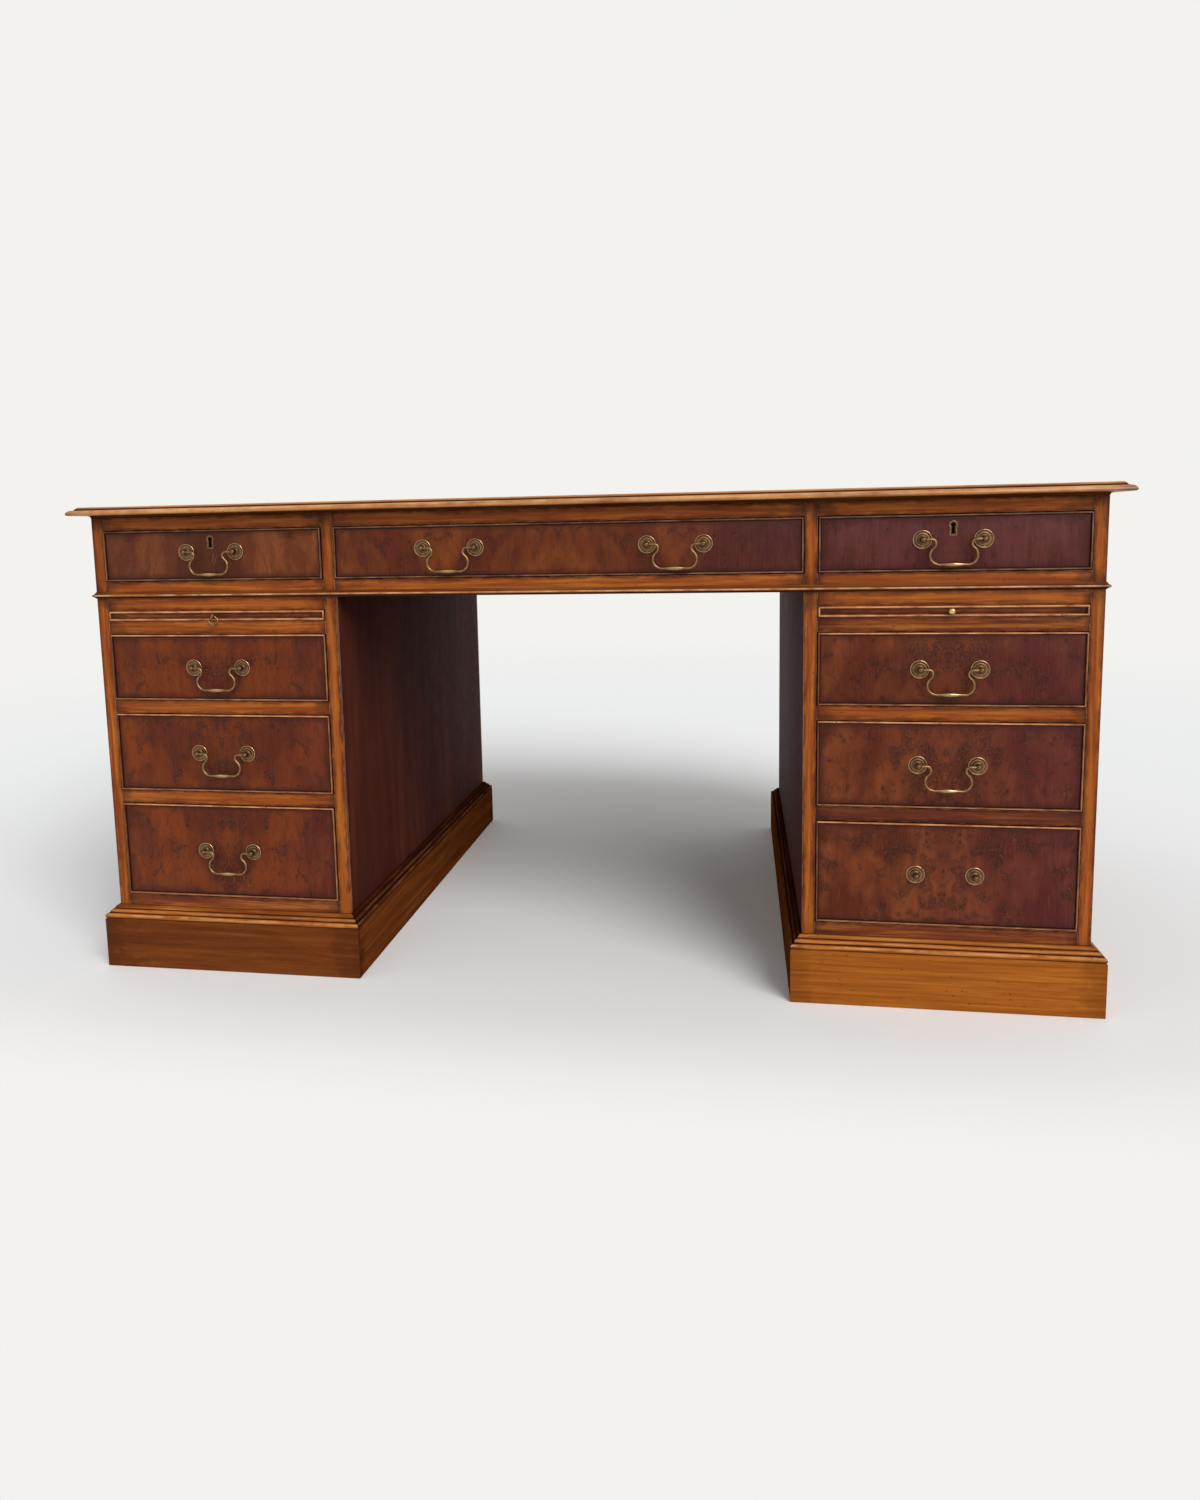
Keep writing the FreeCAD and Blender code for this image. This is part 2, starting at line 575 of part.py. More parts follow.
def keyhole(inset, base, height):
    """A solid of keyhole outline, drawn in by inset: a round head over a skirt that flares to its foot."""
    neck = ESCUTCHEON_NECK / 2 - inset
    foot = ESCUTCHEON_FOOT / 2 - inset
    drop = inset + ESCUTCHEON_WIDTH / 2 - ESCUTCHEON_HEIGHT
    head = Part.makeCylinder(ESCUTCHEON_WIDTH / 2 - inset, height, V(0, 0, base))
    corners = [V(-neck, 0, base), V(-foot, drop, base), V(foot, drop, base), V(neck, 0, base)]
    return head.fuse(Part.Face(Part.makePolygon(corners + corners[:1])).extrude(V(0, 0, height)))


def escutcheon(x, z, facing):
    """Escutcheon: a thin plate of keyhole outline, with the keyhole cut an even rim inside it."""
    plate = keyhole(0, 0, ESCUTCHEON_T).cut(keyhole(ESCUTCHEON_RIM, -ESCUTCHEON_T, 3 * ESCUTCHEON_T))
    rise = (ESCUTCHEON_HEIGHT - ESCUTCHEON_WIDTH) / 2
    return stand_up(plate.removeSplitter().Solids, x, facing * FACE_Y, z + rise, facing)


def lock_case(x, z, thickness, facing):
    """Lock case on the inner face of a front or door."""
    case = board(-LOCK_WIDTH / 2, LOCK_WIDTH / 2, -LOCK_HEIGHT / 2, LOCK_HEIGHT / 2,
                 -thickness - LOCK_T, -thickness)
    return stand_up([case], x, facing * FACE_Y, z, facing)


def drawer(name, x, z0, width, height, depth, handle_z, handle_xs, bails, locked):
    """One drawer: front, box, brassware and each of its bails."""
    write(name + "_front", beaded_front(x, z0, width, height, FRONT_GAP, FRONT_T, -1))
    write(name + "_box", drawer_box(x, z0, width, height, depth))
    brass = []
    for handle_x in handle_xs:
        brass += handle_posts(handle_x, handle_z, -1)
    if locked:
        brass += escutcheon(x, z0 + height - LOCK_HEIGHT / 2 - BEAD_WIDTH, -1)
        brass += lock_case(x, z0 + height - LOCK_HEIGHT / 2 - DRAWER_SIDE_DROP, FRONT_T, -1)
    write(name + "_brassware", brass)
    for bail_name, handle_x in bails.items():
        write(name + bail_name, [bail(handle_x, handle_z, -1)])


def all_drawers():
    """Three frieze drawers and three drawers in each pedestal; the lower right one has lost its bail."""
    frieze_handle_z = FRIEZE_Z + FRIEZE_OPENING_H / 2 + FRIEZE_HANDLE_RISE
    for place, (x, width) in FRIEZE_DRAWERS.items():
        handles = {"_bail": x}
        if place == "middle":
            handles = {"_left_bail": x - MIDDLE_HANDLE_OFFSET, "_right_bail": x + MIDDLE_HANDLE_OFFSET}
        drawer(place + "_frieze_drawer", x, FRIEZE_Z, width, FRIEZE_OPENING_H, FRIEZE_DRAWER_DEPTH,
               frieze_handle_z, list(handles.values()), handles, place != "middle")
    for pedestal, side in PEDESTALS.items():
        x = side * PEDESTAL_X
        for level, (z0, height) in PEDESTAL_DRAWERS.items():
            lost = pedestal == "right" and level == "lower"
            drawer(pedestal + "_" + level + "_drawer", x, z0, OPENING_WIDTH, height, DRAWER_DEPTH,
                   z0 + height / 2, [x], {} if lost else {"_bail": x}, False)


# ---------------------------------------------------------------- brushing slides
def brushing_slide(name, side):
    """Slide board and its front lipping: a sunk strip in a mitred frame of beads."""
    x = side * PEDESTAL_X
    half = OPENING_WIDTH / 2 - FRONT_GAP
    z0 = SLIDE_Z + RUN_CLEARANCE
    z1 = SLIDE_Z + SLIDE_OPENING_H - RUN_CLEARANCE
    nose = SLIDE_BEAD / 2
    back = SLIDE_LIPPING - nose
    bead = outline((0, -back), *round_points((nose, 0), nose, 180, 0, NOSE_STEPS), (SLIDE_BEAD, -back))
    beads = mitred_frame(bead, SLIDE_BEAD, 2 * half, z1 - z0)
    strip_x = half - SLIDE_BEAD
    strip_z = (z1 - z0) / 2 - SLIDE_BEAD
    strip = board(-strip_x, strip_x, -strip_z, strip_z, -back, -SLIDE_SUNK)
    slide = board(x - half, x + half, back - FACE_Y, SLIDE_DEPTH - FACE_Y, z0, z1)
    write(name + "_brushing_slide", [slide] + stand_up([strip] + beads, x, -FACE_Y, (z0 + z1) / 2, -1))


def slide_knob(x):
    """Small turned knob on the front of a slide."""
    centre = SLIDE_KNOB_REACH - SLIDE_KNOB_R
    ball = round_points((0, centre), SLIDE_KNOB_R, BALL_START, BALL_END, KNOB_BALL_STEPS)
    knob = turned([(SLIDE_KNOB_NECK_R, 0)] + ball)
    return stand_up([knob], x, SLIDE_SUNK - FACE_Y, SLIDE_Z + SLIDE_OPENING_H / 2, -1)


def slide_loop(x):
    """Screw eye left where the other slide's knob was, and the bent loop of wire that hangs in it."""
    z = SLIDE_Z + SLIDE_OPENING_H / 2
    sunk_y = -FACE_Y + SLIDE_SUNK
    eye_y = sunk_y - EYE_SHANK - EYE_R
    loop_z = z - LOOP_R + EYE_R - 2 * LOOP_WIRE_R - RUN_CLEARANCE
    turns = [2 * math.pi * k / LOOP_STEPS for k in range(LOOP_STEPS)]
    ring = [V(x, eye_y + EYE_R * math.cos(turn), z + EYE_R * math.sin(turn)) for turn in turns]
    loop = [V(x + LOOP_R * math.sin(turn), eye_y, loop_z + LOOP_R * math.cos(turn)) for turn in turns]
    radii = [LOOP_WIRE_R] * LOOP_STEPS
    shank = Part.makeCylinder(LOOP_WIRE_R, EYE_SHANK, V(x, sunk_y, z), V(0, -1, 0))
    eye = wire_rod(ring, radii, V(1, 0, 0), True).fuse(shank)
    return eye.Solids + [wire_rod(loop, radii, V(0, 1, 0), True)]


# ---------------------------------------------------------------- back of the desk
def dummy_fronts():
    """Three fixed dummy drawer fronts in the back of the frieze, with their roses and bails."""
    fronts = []
    brass = []
    z = FRIEZE_Z + FRIEZE_OPENING_H / 2 + FRIEZE_HANDLE_RISE
    for x, width in FRIEZE_DRAWERS.values():
        fronts += beaded_front(x, FRIEZE_Z, width, FRIEZE_OPENING_H, DUMMY_GAP, FRONT_T, 1)
    write("frieze_dummy_fronts", fronts)
    handles = {"back_left_bail": -PEDESTAL_X, "back_middle_left_bail": -MIDDLE_HANDLE_OFFSET,
               "back_middle_right_bail": MIDDLE_HANDLE_OFFSET, "back_right_bail": PEDESTAL_X}
    for name, x in handles.items():
        brass += handle_posts(x, z, 1)
        write(name, [bail(x, z, 1)])
    write("frieze_dummy_brassware", brass)


def hinge_axis(side):
    """X and Y of a cupboard door's hinge pin: in the gap beside the door, just proud of its beads."""
    return (side * (BODY_X - PANEL_T - DOOR_GAP / 2), FACE_Y + BEAD_PROJECTION + KNUCKLE_R)


def hinge_half(side, middle_z, on_door):
    """One leaf of a butt hinge with its knuckles: the middle one on the door, the outer two on the frame."""
    x, y = hinge_axis(side)
    low = middle_z - HINGE_LENGTH / 2
    third = HINGE_LENGTH / 3
    leaf_x = x - DOOR_GAP / 2 if on_door == (side > 0) else x + DOOR_GAP / 2 - HINGE_LEAF_T
    leaf = board(leaf_x, leaf_x + HINGE_LEAF_T, FACE_Y - HINGE_LEAF_WIDTH, y - KNUCKLE_R - KNUCKLE_GAP,
                 low, low + HINGE_LENGTH)
    spans = [(low, low + third), (low + 2 * third, low + HINGE_LENGTH)]
    if on_door:
        spans = [(low + third + KNUCKLE_GAP, low + 2 * third - KNUCKLE_GAP)]
    for z0, z1 in spans:
        leaf = leaf.fuse(board(leaf_x, leaf_x + HINGE_LEAF_T, FACE_Y - HINGE_LEAF_WIDTH, y, z0, z1))
        leaf = leaf.fuse(turned([(KNUCKLE_R, z0), (KNUCKLE_R, z1)]).translated(V(x, y, 0)))
    bore = HINGE_PIN_R
    if on_door:
        bore = (HINGE_PIN_R + HINGE_PIN_CLEARANCE) / math.cos(math.pi / TURNED_SIDES)
    leaf = leaf.cut(turned([(bore, low), (bore, low + HINGE_LENGTH)]).translated(V(x, y, 0)))
    return leaf.removeSplitter().Solids


def cupboards():
    """A beaded door at the back of each pedestal, with escutcheon, lock and two butt hinges."""
    height = DOOR_TOP - LOWER_Z
    leaves = []
    for name, side in PEDESTALS.items():
        x = side * PEDESTAL_X
        write(name + "_cupboard_door", beaded_front(x, LOWER_Z, OPENING_WIDTH, height, DOOR_GAP, DOOR_T, 1))
        free_edge = x - side * (OPENING_WIDTH / 2 - DOOR_GAP - BEAD_WIDTH)
        lock_x = free_edge + side * LOCK_WIDTH / 2
        middle_z = LOWER_Z + height / 2
        brass = escutcheon(lock_x, middle_z, 1) + lock_case(lock_x, middle_z, DOOR_T, 1)
        for z in (LOWER_Z + HINGE_FROM_END, DOOR_TOP - HINGE_FROM_END):
            brass += hinge_half(side, z, True)
            leaves += hinge_half(side, z, False)
            pin = turned([(HINGE_PIN_R, z - HINGE_LENGTH / 2), (HINGE_PIN_R, z + HINGE_LENGTH / 2)])
            leaves.append(pin.translated(V(*hinge_axis(side), 0)))
        write(name + "_cupboard_door_brassware", brass)
    write("cupboard_hinge_leaves", leaves)


# ---------------------------------------------------------------- the whole desk
def main():
    """Build every sub-part and write it."""
    os.makedirs("parts", exist_ok=True)
    top()
    frieze_frame()
    waist_moulding()
    all_drawers()
    for name, side in PEDESTALS.items():
        pedestal_carcass(name, side)
        plinth(name, side)
        brushing_slide(name, side)
    write("right_slide_knob", slide_knob(PEDESTAL_X))
    write("left_slide_pull", slide_loop(-PEDESTAL_X))
    dummy_fronts()
    cupboards()


main()
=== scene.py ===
"""Partners desk in yew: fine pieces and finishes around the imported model.

Sizes are in millimetres until a mesh is made. +X is the sitter's right, +Y leads from the drawer side to the
cupboard side, +Z is up. Every piece is built where it stands, so its object stays at the origin.
"""

import json
import logging
import math
from dataclasses import dataclass, field, replace
from enum import Enum

import bpy
import numpy as np
from mathutils import Matrix, Vector

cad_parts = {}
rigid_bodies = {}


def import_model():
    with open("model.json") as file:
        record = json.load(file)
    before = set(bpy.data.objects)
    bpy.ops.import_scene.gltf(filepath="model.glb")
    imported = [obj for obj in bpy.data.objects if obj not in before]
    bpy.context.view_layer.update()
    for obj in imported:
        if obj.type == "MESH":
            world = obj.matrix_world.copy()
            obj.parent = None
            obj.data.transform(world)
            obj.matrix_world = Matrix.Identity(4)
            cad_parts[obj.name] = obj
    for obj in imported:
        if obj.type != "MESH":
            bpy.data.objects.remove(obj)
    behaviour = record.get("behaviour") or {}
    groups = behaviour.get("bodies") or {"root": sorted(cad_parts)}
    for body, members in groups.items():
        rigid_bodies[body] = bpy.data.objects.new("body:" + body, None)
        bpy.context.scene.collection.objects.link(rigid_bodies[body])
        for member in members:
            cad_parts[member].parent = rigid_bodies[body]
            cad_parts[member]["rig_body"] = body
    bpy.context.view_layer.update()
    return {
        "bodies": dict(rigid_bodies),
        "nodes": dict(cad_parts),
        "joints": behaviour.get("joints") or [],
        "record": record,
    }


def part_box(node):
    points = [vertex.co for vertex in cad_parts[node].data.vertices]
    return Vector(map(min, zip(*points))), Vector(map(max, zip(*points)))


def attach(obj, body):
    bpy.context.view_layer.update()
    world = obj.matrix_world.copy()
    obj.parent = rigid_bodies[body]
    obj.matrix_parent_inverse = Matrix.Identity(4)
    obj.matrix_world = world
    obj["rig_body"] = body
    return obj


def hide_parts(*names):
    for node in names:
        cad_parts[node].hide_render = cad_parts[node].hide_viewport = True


LOG = logging.getLogger("desk")
MM = 0.001
# Half size of a side that has no arris to darken or wear.
ENDLESS = 1e4
# A piece's name gives the seed of its boards' numbers, below this.
SEEDS = 9973
# A board's number, from 0 to 1, moves its figure by up to this many mm each way.
BOARD_SHIFT = (1731.0, 947.0, 313.0)
# The noise's span over which a patch or a spot comes in.
SOFT = 0.12

Tree = bpy.types.NodeTree
Node = bpy.types.Node
Socket = bpy.types.NodeSocket
Pair = tuple[float, float]
Triple = tuple[float, float, float]


# ------------------------------------------------------------------------------------ colours and nodes
def linear(hex_colour: str) -> tuple[float, float, float, float]:
    """Turn an sRGB hex colour into the linear colour that shaders take.

    Args:
        hex_colour: "#rrggbb".

    Returns:
        Linear red, green, blue and an alpha of 1.
    """
    parts = [int(hex_colour[i:i + 2], 16) / 255 for i in (1, 3, 5)]
    red, green, blue = (p / 12.92 if p <= 0.04045 else ((p + 0.055) / 1.055) ** 2.4 for p in parts)
    return (red, green, blue, 1.0)


def feed(tree: Tree, node: Node, inputs: dict) -> None:
    """Give a node's sockets, by name or number, a value, another node's socket or its first output.

    Args:
        tree: the tree that the node is in.
        node: the node that is fed.
        inputs: what goes into each socket, by its name or number.
    """
    for key, value in inputs.items():
        if isinstance(value, Node):
            value = value.outputs[0]
        if isinstance(value, Socket):
            tree.links.new(value, node.inputs[key])
        else:
            node.inputs[key].default_value = value


def add(tree: Tree, kind: str, inputs: dict | None = None, stops: tuple = (), **settings) -> Node:
    """Add one node to a tree.

    Args:
        tree: the material's or world's node tree.
        kind: the node's type name, without ShaderNode in front.
        inputs: what goes into its sockets, as feed takes it.
        stops: a colour ramp's places from 0 to 1, in rising order, each with its hex colour.
        settings: the node's own properties.

    Returns:
        The new node.
    """
    made = tree.nodes.new("ShaderNode" + kind)
    for name, value in settings.items():
        setattr(made, name, value)
    feed(tree, made, inputs or {})
    for k, (place, colour) in enumerate(stops):
        element = made.color_ramp.elements[k] if k < 2 else made.color_ramp.elements.new(place)
        element.position = place
        element.color = linear(colour)
    return made


@dataclass(frozen=True)
class Finish:
    """A finish, made into a material once and shared by all that wear it."""

    name: str
    specular: float = 0.5

    def shade(self, tree: Tree) -> dict:
        """Wire the finish's own pattern, and give what goes into the shader's sockets."""
        raise NotImplementedError

    def material(self) -> bpy.types.Material:
        """Make the material, or give back the one that was made before.

        Returns:
            The material, ready to go on a mesh.
        """
        found = bpy.data.materials.get(self.name)
        if found:
            return found
        made = bpy.data.materials.new(self.name)
        made.use_nodes = True
        tree = made.node_tree
        tree.nodes.clear()
        shader = add(tree, "BsdfPrincipled", {"Specular IOR Level": self.specular})
        add(tree, "OutputMaterial", {"Surface": shader})
        feed(tree, shader, self.shade(tree))
        return made


def carried(tree: Tree, name: str) -> Socket:
    """What a piece carries at each point: grain and half are vectors in mm, seed and recess are numbers."""
    made = add(tree, "Attribute", attribute_name=name)
    return made.outputs["Vector" if name in ("grain", "half") else "Fac"]


def in_board(tree: Tree, place: Node | Socket) -> Node:
    """A place moved by the board's own number, so that no two boards are alike."""
    return add(tree, "VectorMath", {0: carried(tree, "seed"), 1: BOARD_SHIFT, 2: place},
               operation="MULTIPLY_ADD")


def product(tree: Tree, *masks: Node | float) -> Node:
    """Masks multiplied together: the part of the surface where all of them lie.

    Args:
        tree: the material's tree.
        masks: masks from 0 to 1, or plain factors.

    Returns:
        The node of the product.
    """
    both = masks[0]
    for other in masks[1:]:
        both = add(tree, "Math", {0: both, 1: other}, operation="MULTIPLY")
    return both


def blotches(tree: Tree, place: Node | Socket, size: Pair, span: Pair, amount: float = 1.0,
             **noise: float) -> Node:
    """A mask of soft blotches: it rises from 0 to amount where the noise passes through a span.

    Args:
        tree: the material's tree.
        place: place in the wood, in mm.
        size: length of a blotch along the grain and across it, in mm.
        span: the noise's value where the mask starts and where it is full; the noise averages 0.5.
        amount: the full mask.
        noise: detail, roughness and distortion of the noise.

    Returns:
        The node that gives the mask.
    """
    along, across = size
    scaled = add(tree, "Mapping", {"Vector": place, "Scale": (1 / along, 1 / across, 1 / across)})
    inputs = {name.capitalize(): value for name, value in noise.items()}
    pattern = add(tree, "TexNoise", {"Vector": scaled, "Scale": 1.0, **inputs})
    return add(tree, "MapRange", {"Value": pattern, "From Min": span[0], "From Max": span[1],
                                  "To Max": amount})


def near(tree: Tree, distance: Node | Socket, reach: Node | float, strength: float,
         start: float = 0.0) -> Node:
    """A mask of a given strength up to a start distance, which fades to 0 at its reach, both in mm."""
    return add(tree, "MapRange", {"Value": distance, "From Min": start, "From Max": reach,
                                  "To Min": strength, "To Max": 0.0}, interpolation_type="SMOOTHSTEP")


def layered(tree: Tree, colour: Node | Socket | str, *layers: tuple[Node | Socket, str]) -> Socket:
    """Lay hex colours over a first colour, each through its mask, in order.

    Args:
        tree: the material's tree.
        colour: the first colour.
        layers: each a mask and the colour that it lays.

    Returns:
        The socket that gives the colour.
    """
    if isinstance(colour, str):
        colour = linear(colour)
    for amount, tint in layers:
        colour = add(tree, "Mix", {"Factor": amount, "A": colour, "B": linear(tint)},
                     data_type="RGBA").outputs["Result"]
    return colour


def to_edge_and_end(tree: Tree) -> tuple[Node, Socket]:
    """Distances in mm from a point of a board's face to its nearest arris and to its nearer end.

    The first is the middle one of the three distances to the board's sides: the smallest is that to the
    face itself.

    Args:
        tree: the material's tree.

    Returns:
        Distance to the arris, and distance to the end.
    """
    size = add(tree, "VectorMath", {0: carried(tree, "grain")}, operation="ABSOLUTE")
    gap = add(tree, "VectorMath", {0: carried(tree, "half"), 1: size}, operation="SUBTRACT")
    x, y, z = add(tree, "SeparateXYZ", {0: gap}).outputs
    low = add(tree, "Math", {0: x, 1: y}, operation="MINIMUM")
    high = add(tree, "Math", {0: x, 1: y}, operation="MAXIMUM")
    inner = add(tree, "Math", {0: high, 1: z}, operation="MINIMUM")
    return add(tree, "Math", {0: low, 1: inner}, operation="MAXIMUM"), x


def pips(tree: Tree, place: Node | Socket, size: Pair, core: Pair, bare: float) -> Node:
    """A mask of small dark spots, one in some of the cells of a random net.

    Args:
        tree: the material's tree.
        place: place in the wood, in mm.
        size: length and width of a cell in mm.
        core: radius of a spot's dark middle and of its soft rim, in cells.
        bare: share of the cells without a spot.

    Returns:
        The node that gives the mask.
    """
    along, across = size
    scaled = add(tree, "Mapping", {"Vector": place, "Scale": (1 / along, 1 / across, 1 / across)})
    net = add(tree, "TexVoronoi", {"Vector": scaled, "Scale": 1.0})
    spot = near(tree, net.outputs["Distance"], core[1], 1.0, core[0])
    chosen = add(tree, "MapRange", {"Value": net.outputs["Color"], "From Min": bare, "From Max": bare + SOFT})
    return product(tree, spot, chosen)


@dataclass(frozen=True)
class PlainWood(Finish):
    """Straight-grained wood under satin polish.

    Long streaks carry the colour, fine lines the grain. Polish and soiling darken it towards joints and ends,
    and handling rubs the arrises pale. Its quirks and hollows are darker, as soiling and painted shade, and
    its crowns paler, as wear and painted highlight. Each pattern has its real length and width in mm; the
    grain lines are drawn coarser than real ones, so that they show.
    """

    dark: str = "#7e370f"
    mid: str = "#a3541c"
    light: str = "#be6f26"
    grime_and_shade: str = "#2e0f0a"
    worn_and_highlight: str = "#cd8f55"
    streak: Pair = (170.0, 7.0)
    line: Pair = (60.0, 1.0)
    line_strength: float = 0.62
    cloud: Pair = (230.0, 55.0)
    cloud_strength: float = 0.35
    smudge: Pair = (26.0, 18.0)
    edge_reach: float = 6.0
    edge_strength: float = 0.68
    end_reach: float = 36.0
    end_strength: float = 0.55
    rub: Pair = (16.0, 9.0)
    wear: float = 0.5
    arris: Pair = (0.4, 1.0)
    crown_rub: Pair = (24.0, 20.0)
    speck: float = 0.6
    speck_size: Pair = (16.0, 9.0)
    roughness: float = 0.42
    specular: float = 0.16

    def shade(self, tree: Tree) -> dict:
        """Streaks, clouds, lines, dark edges and ends, rubbed arrises and specks, and painted shade and
        highlight.

        Args:
            tree: the material's tree.

        Returns:
            What goes into the shader's sockets, by name.
        """
        place = in_board(tree, carried(tree, "grain"))
        edge, end = to_edge_and_end(tree)
        recess = carried(tree, "recess")
        figure = blotches(tree, place, self.streak, (0.35, 0.65), detail=5.0, roughness=0.68, distortion=0.3)
        figured = add(tree, "ValToRGB", {"Fac": figure},
                      ((0.0, self.dark), (0.5, self.mid), (1.0, self.light)))
        clouds = blotches(tree, place, self.cloud, (0.38, 0.7), self.cloud_strength, detail=2.0)
        line = blotches(tree, place, self.line, (0.50, 0.74), self.line_strength, detail=3.0)
        smudge = blotches(tree, place, self.smudge, (0.25, 0.75), 2.0, detail=3.0)
        rubbed = blotches(tree, place, self.rub, (0.42, 0.6), self.wear, detail=4.0)
        arris = near(tree, edge, self.arris[1], 1.0, self.arris[0])
        # Crowns, where recess is below 0, are lightened as wear and painted highlight.
        crown = add(tree, "MapRange", {"Value": recess, "From Max": -1.0})
        uneven = blotches(tree, place, self.crown_rub, (0.32, 0.66), detail=3.0)
        specks = pips(tree, place, self.speck_size, (0.05, 0.16), 0.45)
        # The last layer darkens hollows, where recess is above 0, as soiling and painted shade.
        coloured = layered(
            tree, figured, (clouds, self.dark), (line, self.dark),
            (near(tree, edge, product(tree, smudge, self.edge_reach), self.edge_strength), self.grime_and_shade),
            (near(tree, end, product(tree, smudge, self.end_reach), self.end_strength), self.grime_and_shade),
            (product(tree, rubbed, arris), self.worn_and_highlight), (product(tree, crown, uneven), self.worn_and_highlight),
            (product(tree, specks, self.speck), self.grime_and_shade), (recess, self.grime_and_shade))
        dull = add(tree, "Math", {0: smudge, 1: 0.06, 2: self.roughness - 0.05}, operation="MULTIPLY_ADD")
        bump = add(tree, "Bump", {"Height": line, "Strength": 0.25, "Distance": 0.06 * MM})
        # The hollows, darkened as soiling and painted shade, get no shine.
        shine = add(tree, "MapRange", {"Value": recess, "From Max": 0.8, "To Min": self.specular,
                                       "To Max": 0.0})
        return {"Base Color": coloured, "Roughness": dull, "Specular IOR Level": shine, "Normal": bump}


@dataclass(frozen=True)
class BurrVeneer(Finish):
    """Book-matched burr yew veneer, antiqued and polished.

    Two leaves meet in the middle of a sheet, each the other's mirror. Amber clouds lie on brown, with upright
    shading. Pips, small dark eyes, crowd in dusky swirls where the leaves meet, and stain darkens the sheet
    towards its beads and towards one side. Each pattern has its real length and width in mm, and each reach
    the distances where a shade starts to fade and where it is gone.
    """

    amber: str = "#853c10"
    brown: str = "#5f2610"
    dusk: str = "#36150f"
    plum: str = "#421925"
    curl: str = "#8c5636"
    pip: str = "#1b0b09"
    leaf: float = 188.0
    seam_wander: Pair = (60.0, 60.0)
    amber_cloud: Pair = (85.0, 60.0)
    shading: Pair = (110.0, 15.0)
    mottle: Pair = (17.0, 9.0)
    hair: Pair = (26.0, 1.1)
    streak: Pair = (34.0, 1.8)
    burr_patch: Pair = (30.0, 24.0)
    swirl: Pair = (9.0, 6.0)
    ringlet: Pair = (5.0, 3.4)
    eye: Pair = (9.0, 5.5)
    stray: Pair = (30.0, 18.0)
    gather: float = 0.10
    gather_reach: Pair = (15.0, 105.0)
    burr_start: float = 0.52
    plum_span: Pair = (0.1, 1.5)
    plum_amount: float = 0.6
    edge_reach: float = 12.0
    edge_strength: float = 0.62
    bead_reach: Pair = (0.6, 2.2)
    handled: float = 0.0
    handled_reach: Pair = (20.0, 100.0)
    roughness: float = 0.38
    specular: float = 0.16

    def shade(self, tree: Tree) -> dict:
        """Clouds, upright shading, swirls, pips, stain and darkened edges.

        Args:
            tree: the material's tree.

        Returns:
            What goes into the shader's sockets, by name.
        """
        grain = carried(tree, "grain")
        edge, _ = to_edge_and_end(tree)
        along, _, level = add(tree, "SeparateXYZ", {0: grain}).outputs
        wander = blotches(tree, grain, self.seam_wander, (0.0, 1.0), 6.0, detail=2.0)
        across = add(tree, "Math", {0: level, 1: wander}, operation="ADD")
        folded = add(tree, "Math", {0: across, 1: self.leaf}, operation="PINGPONG")
        place = in_board(tree, add(tree, "CombineXYZ", {"X": along, "Y": folded}))
        half = add(tree, "SeparateXYZ", {0: carried(tree, "half")})
        share = add(tree, "Math", {0: level, 1: half.outputs["Z"]}, operation="DIVIDE")
        stain = add(tree, "MapRange", {"Value": share, "From Min": self.plum_span[0],
                                       "From Max": self.plum_span[1], "To Max": self.plum_amount},
                    interpolation_type="SMOOTHSTEP")
        patches = blotches(tree, place, self.burr_patch, (0.0, 1.0), detail=3.0, roughness=0.5,
                           distortion=0.5)
        start, end = self.gather_reach
        drift = add(tree, "Math", {0: near(tree, folded, end, self.gather, start), 1: patches})
        burr = add(tree, "MapRange", {"Value": drift, "From Min": self.burr_start,
                                      "From Max": self.burr_start + SOFT}, interpolation_type="SMOOTHSTEP")
        swirl = blotches(tree, place, self.swirl, (0.35, 0.62), detail=3.0, distortion=2.2)
        deepened = add(tree, "Math", {0: swirl, 1: 0.5, 2: 0.25}, operation="MULTIPLY_ADD")
        ringlets = blotches(tree, place, self.ringlet, (0.56, 0.7), 0.5, distortion=2.0)
        eyes = pips(tree, place, self.eye, (0.0, 0.42), 0.35)
        amber = blotches(tree, place, self.amber_cloud, (0.38, 0.62), detail=2.0, roughness=0.45,
                         distortion=0.5)
        mottle = blotches(tree, place, self.mottle, (0.5, 0.7), 0.36, detail=4.0, distortion=1.2)
        hairs = blotches(tree, place, self.hair, (0.5, 0.8), 0.2, detail=3.0)
        off_middle = add(tree, "Math", {0: across}, operation="ABSOLUTE")
        uneven = blotches(tree, place, self.seam_wander, (0.2, 0.8), 2.0)
        coloured = layered(
            tree, self.brown, (amber, self.amber), (stain, self.plum),
            (blotches(tree, place, self.shading, (0.42, 0.78), 0.42, detail=3.0), self.dusk),
            (mottle, self.dusk), (hairs, self.dusk),
            (blotches(tree, place, self.streak, (0.52, 0.8), 0.2, detail=2.0), self.curl),
            (near(tree, off_middle, self.handled_reach[1], self.handled, self.handled_reach[0]), self.dusk),
            (product(tree, burr, deepened), self.dusk), (product(tree, burr, ringlets), self.curl),
            (product(tree, burr, eyes, 0.65), self.pip),
            (product(tree, pips(tree, place, self.stray, (0.05, 0.13), 0.5), 0.65), self.pip),
            (near(tree, edge, product(tree, uneven, self.edge_reach), self.edge_strength), self.dusk),
            (near(tree, edge, self.bead_reach[1], 0.8, self.bead_reach[0]), self.pip))
        dull = add(tree, "Math", {0: swirl, 1: 0.06, 2: self.roughness}, operation="MULTIPLY_ADD")
        bump = add(tree, "Bump", {"Height": hairs, "Strength": 0.15, "Distance": 0.05 * MM})
        return {"Base Color": coloured, "Roughness": dull, "Normal": bump}


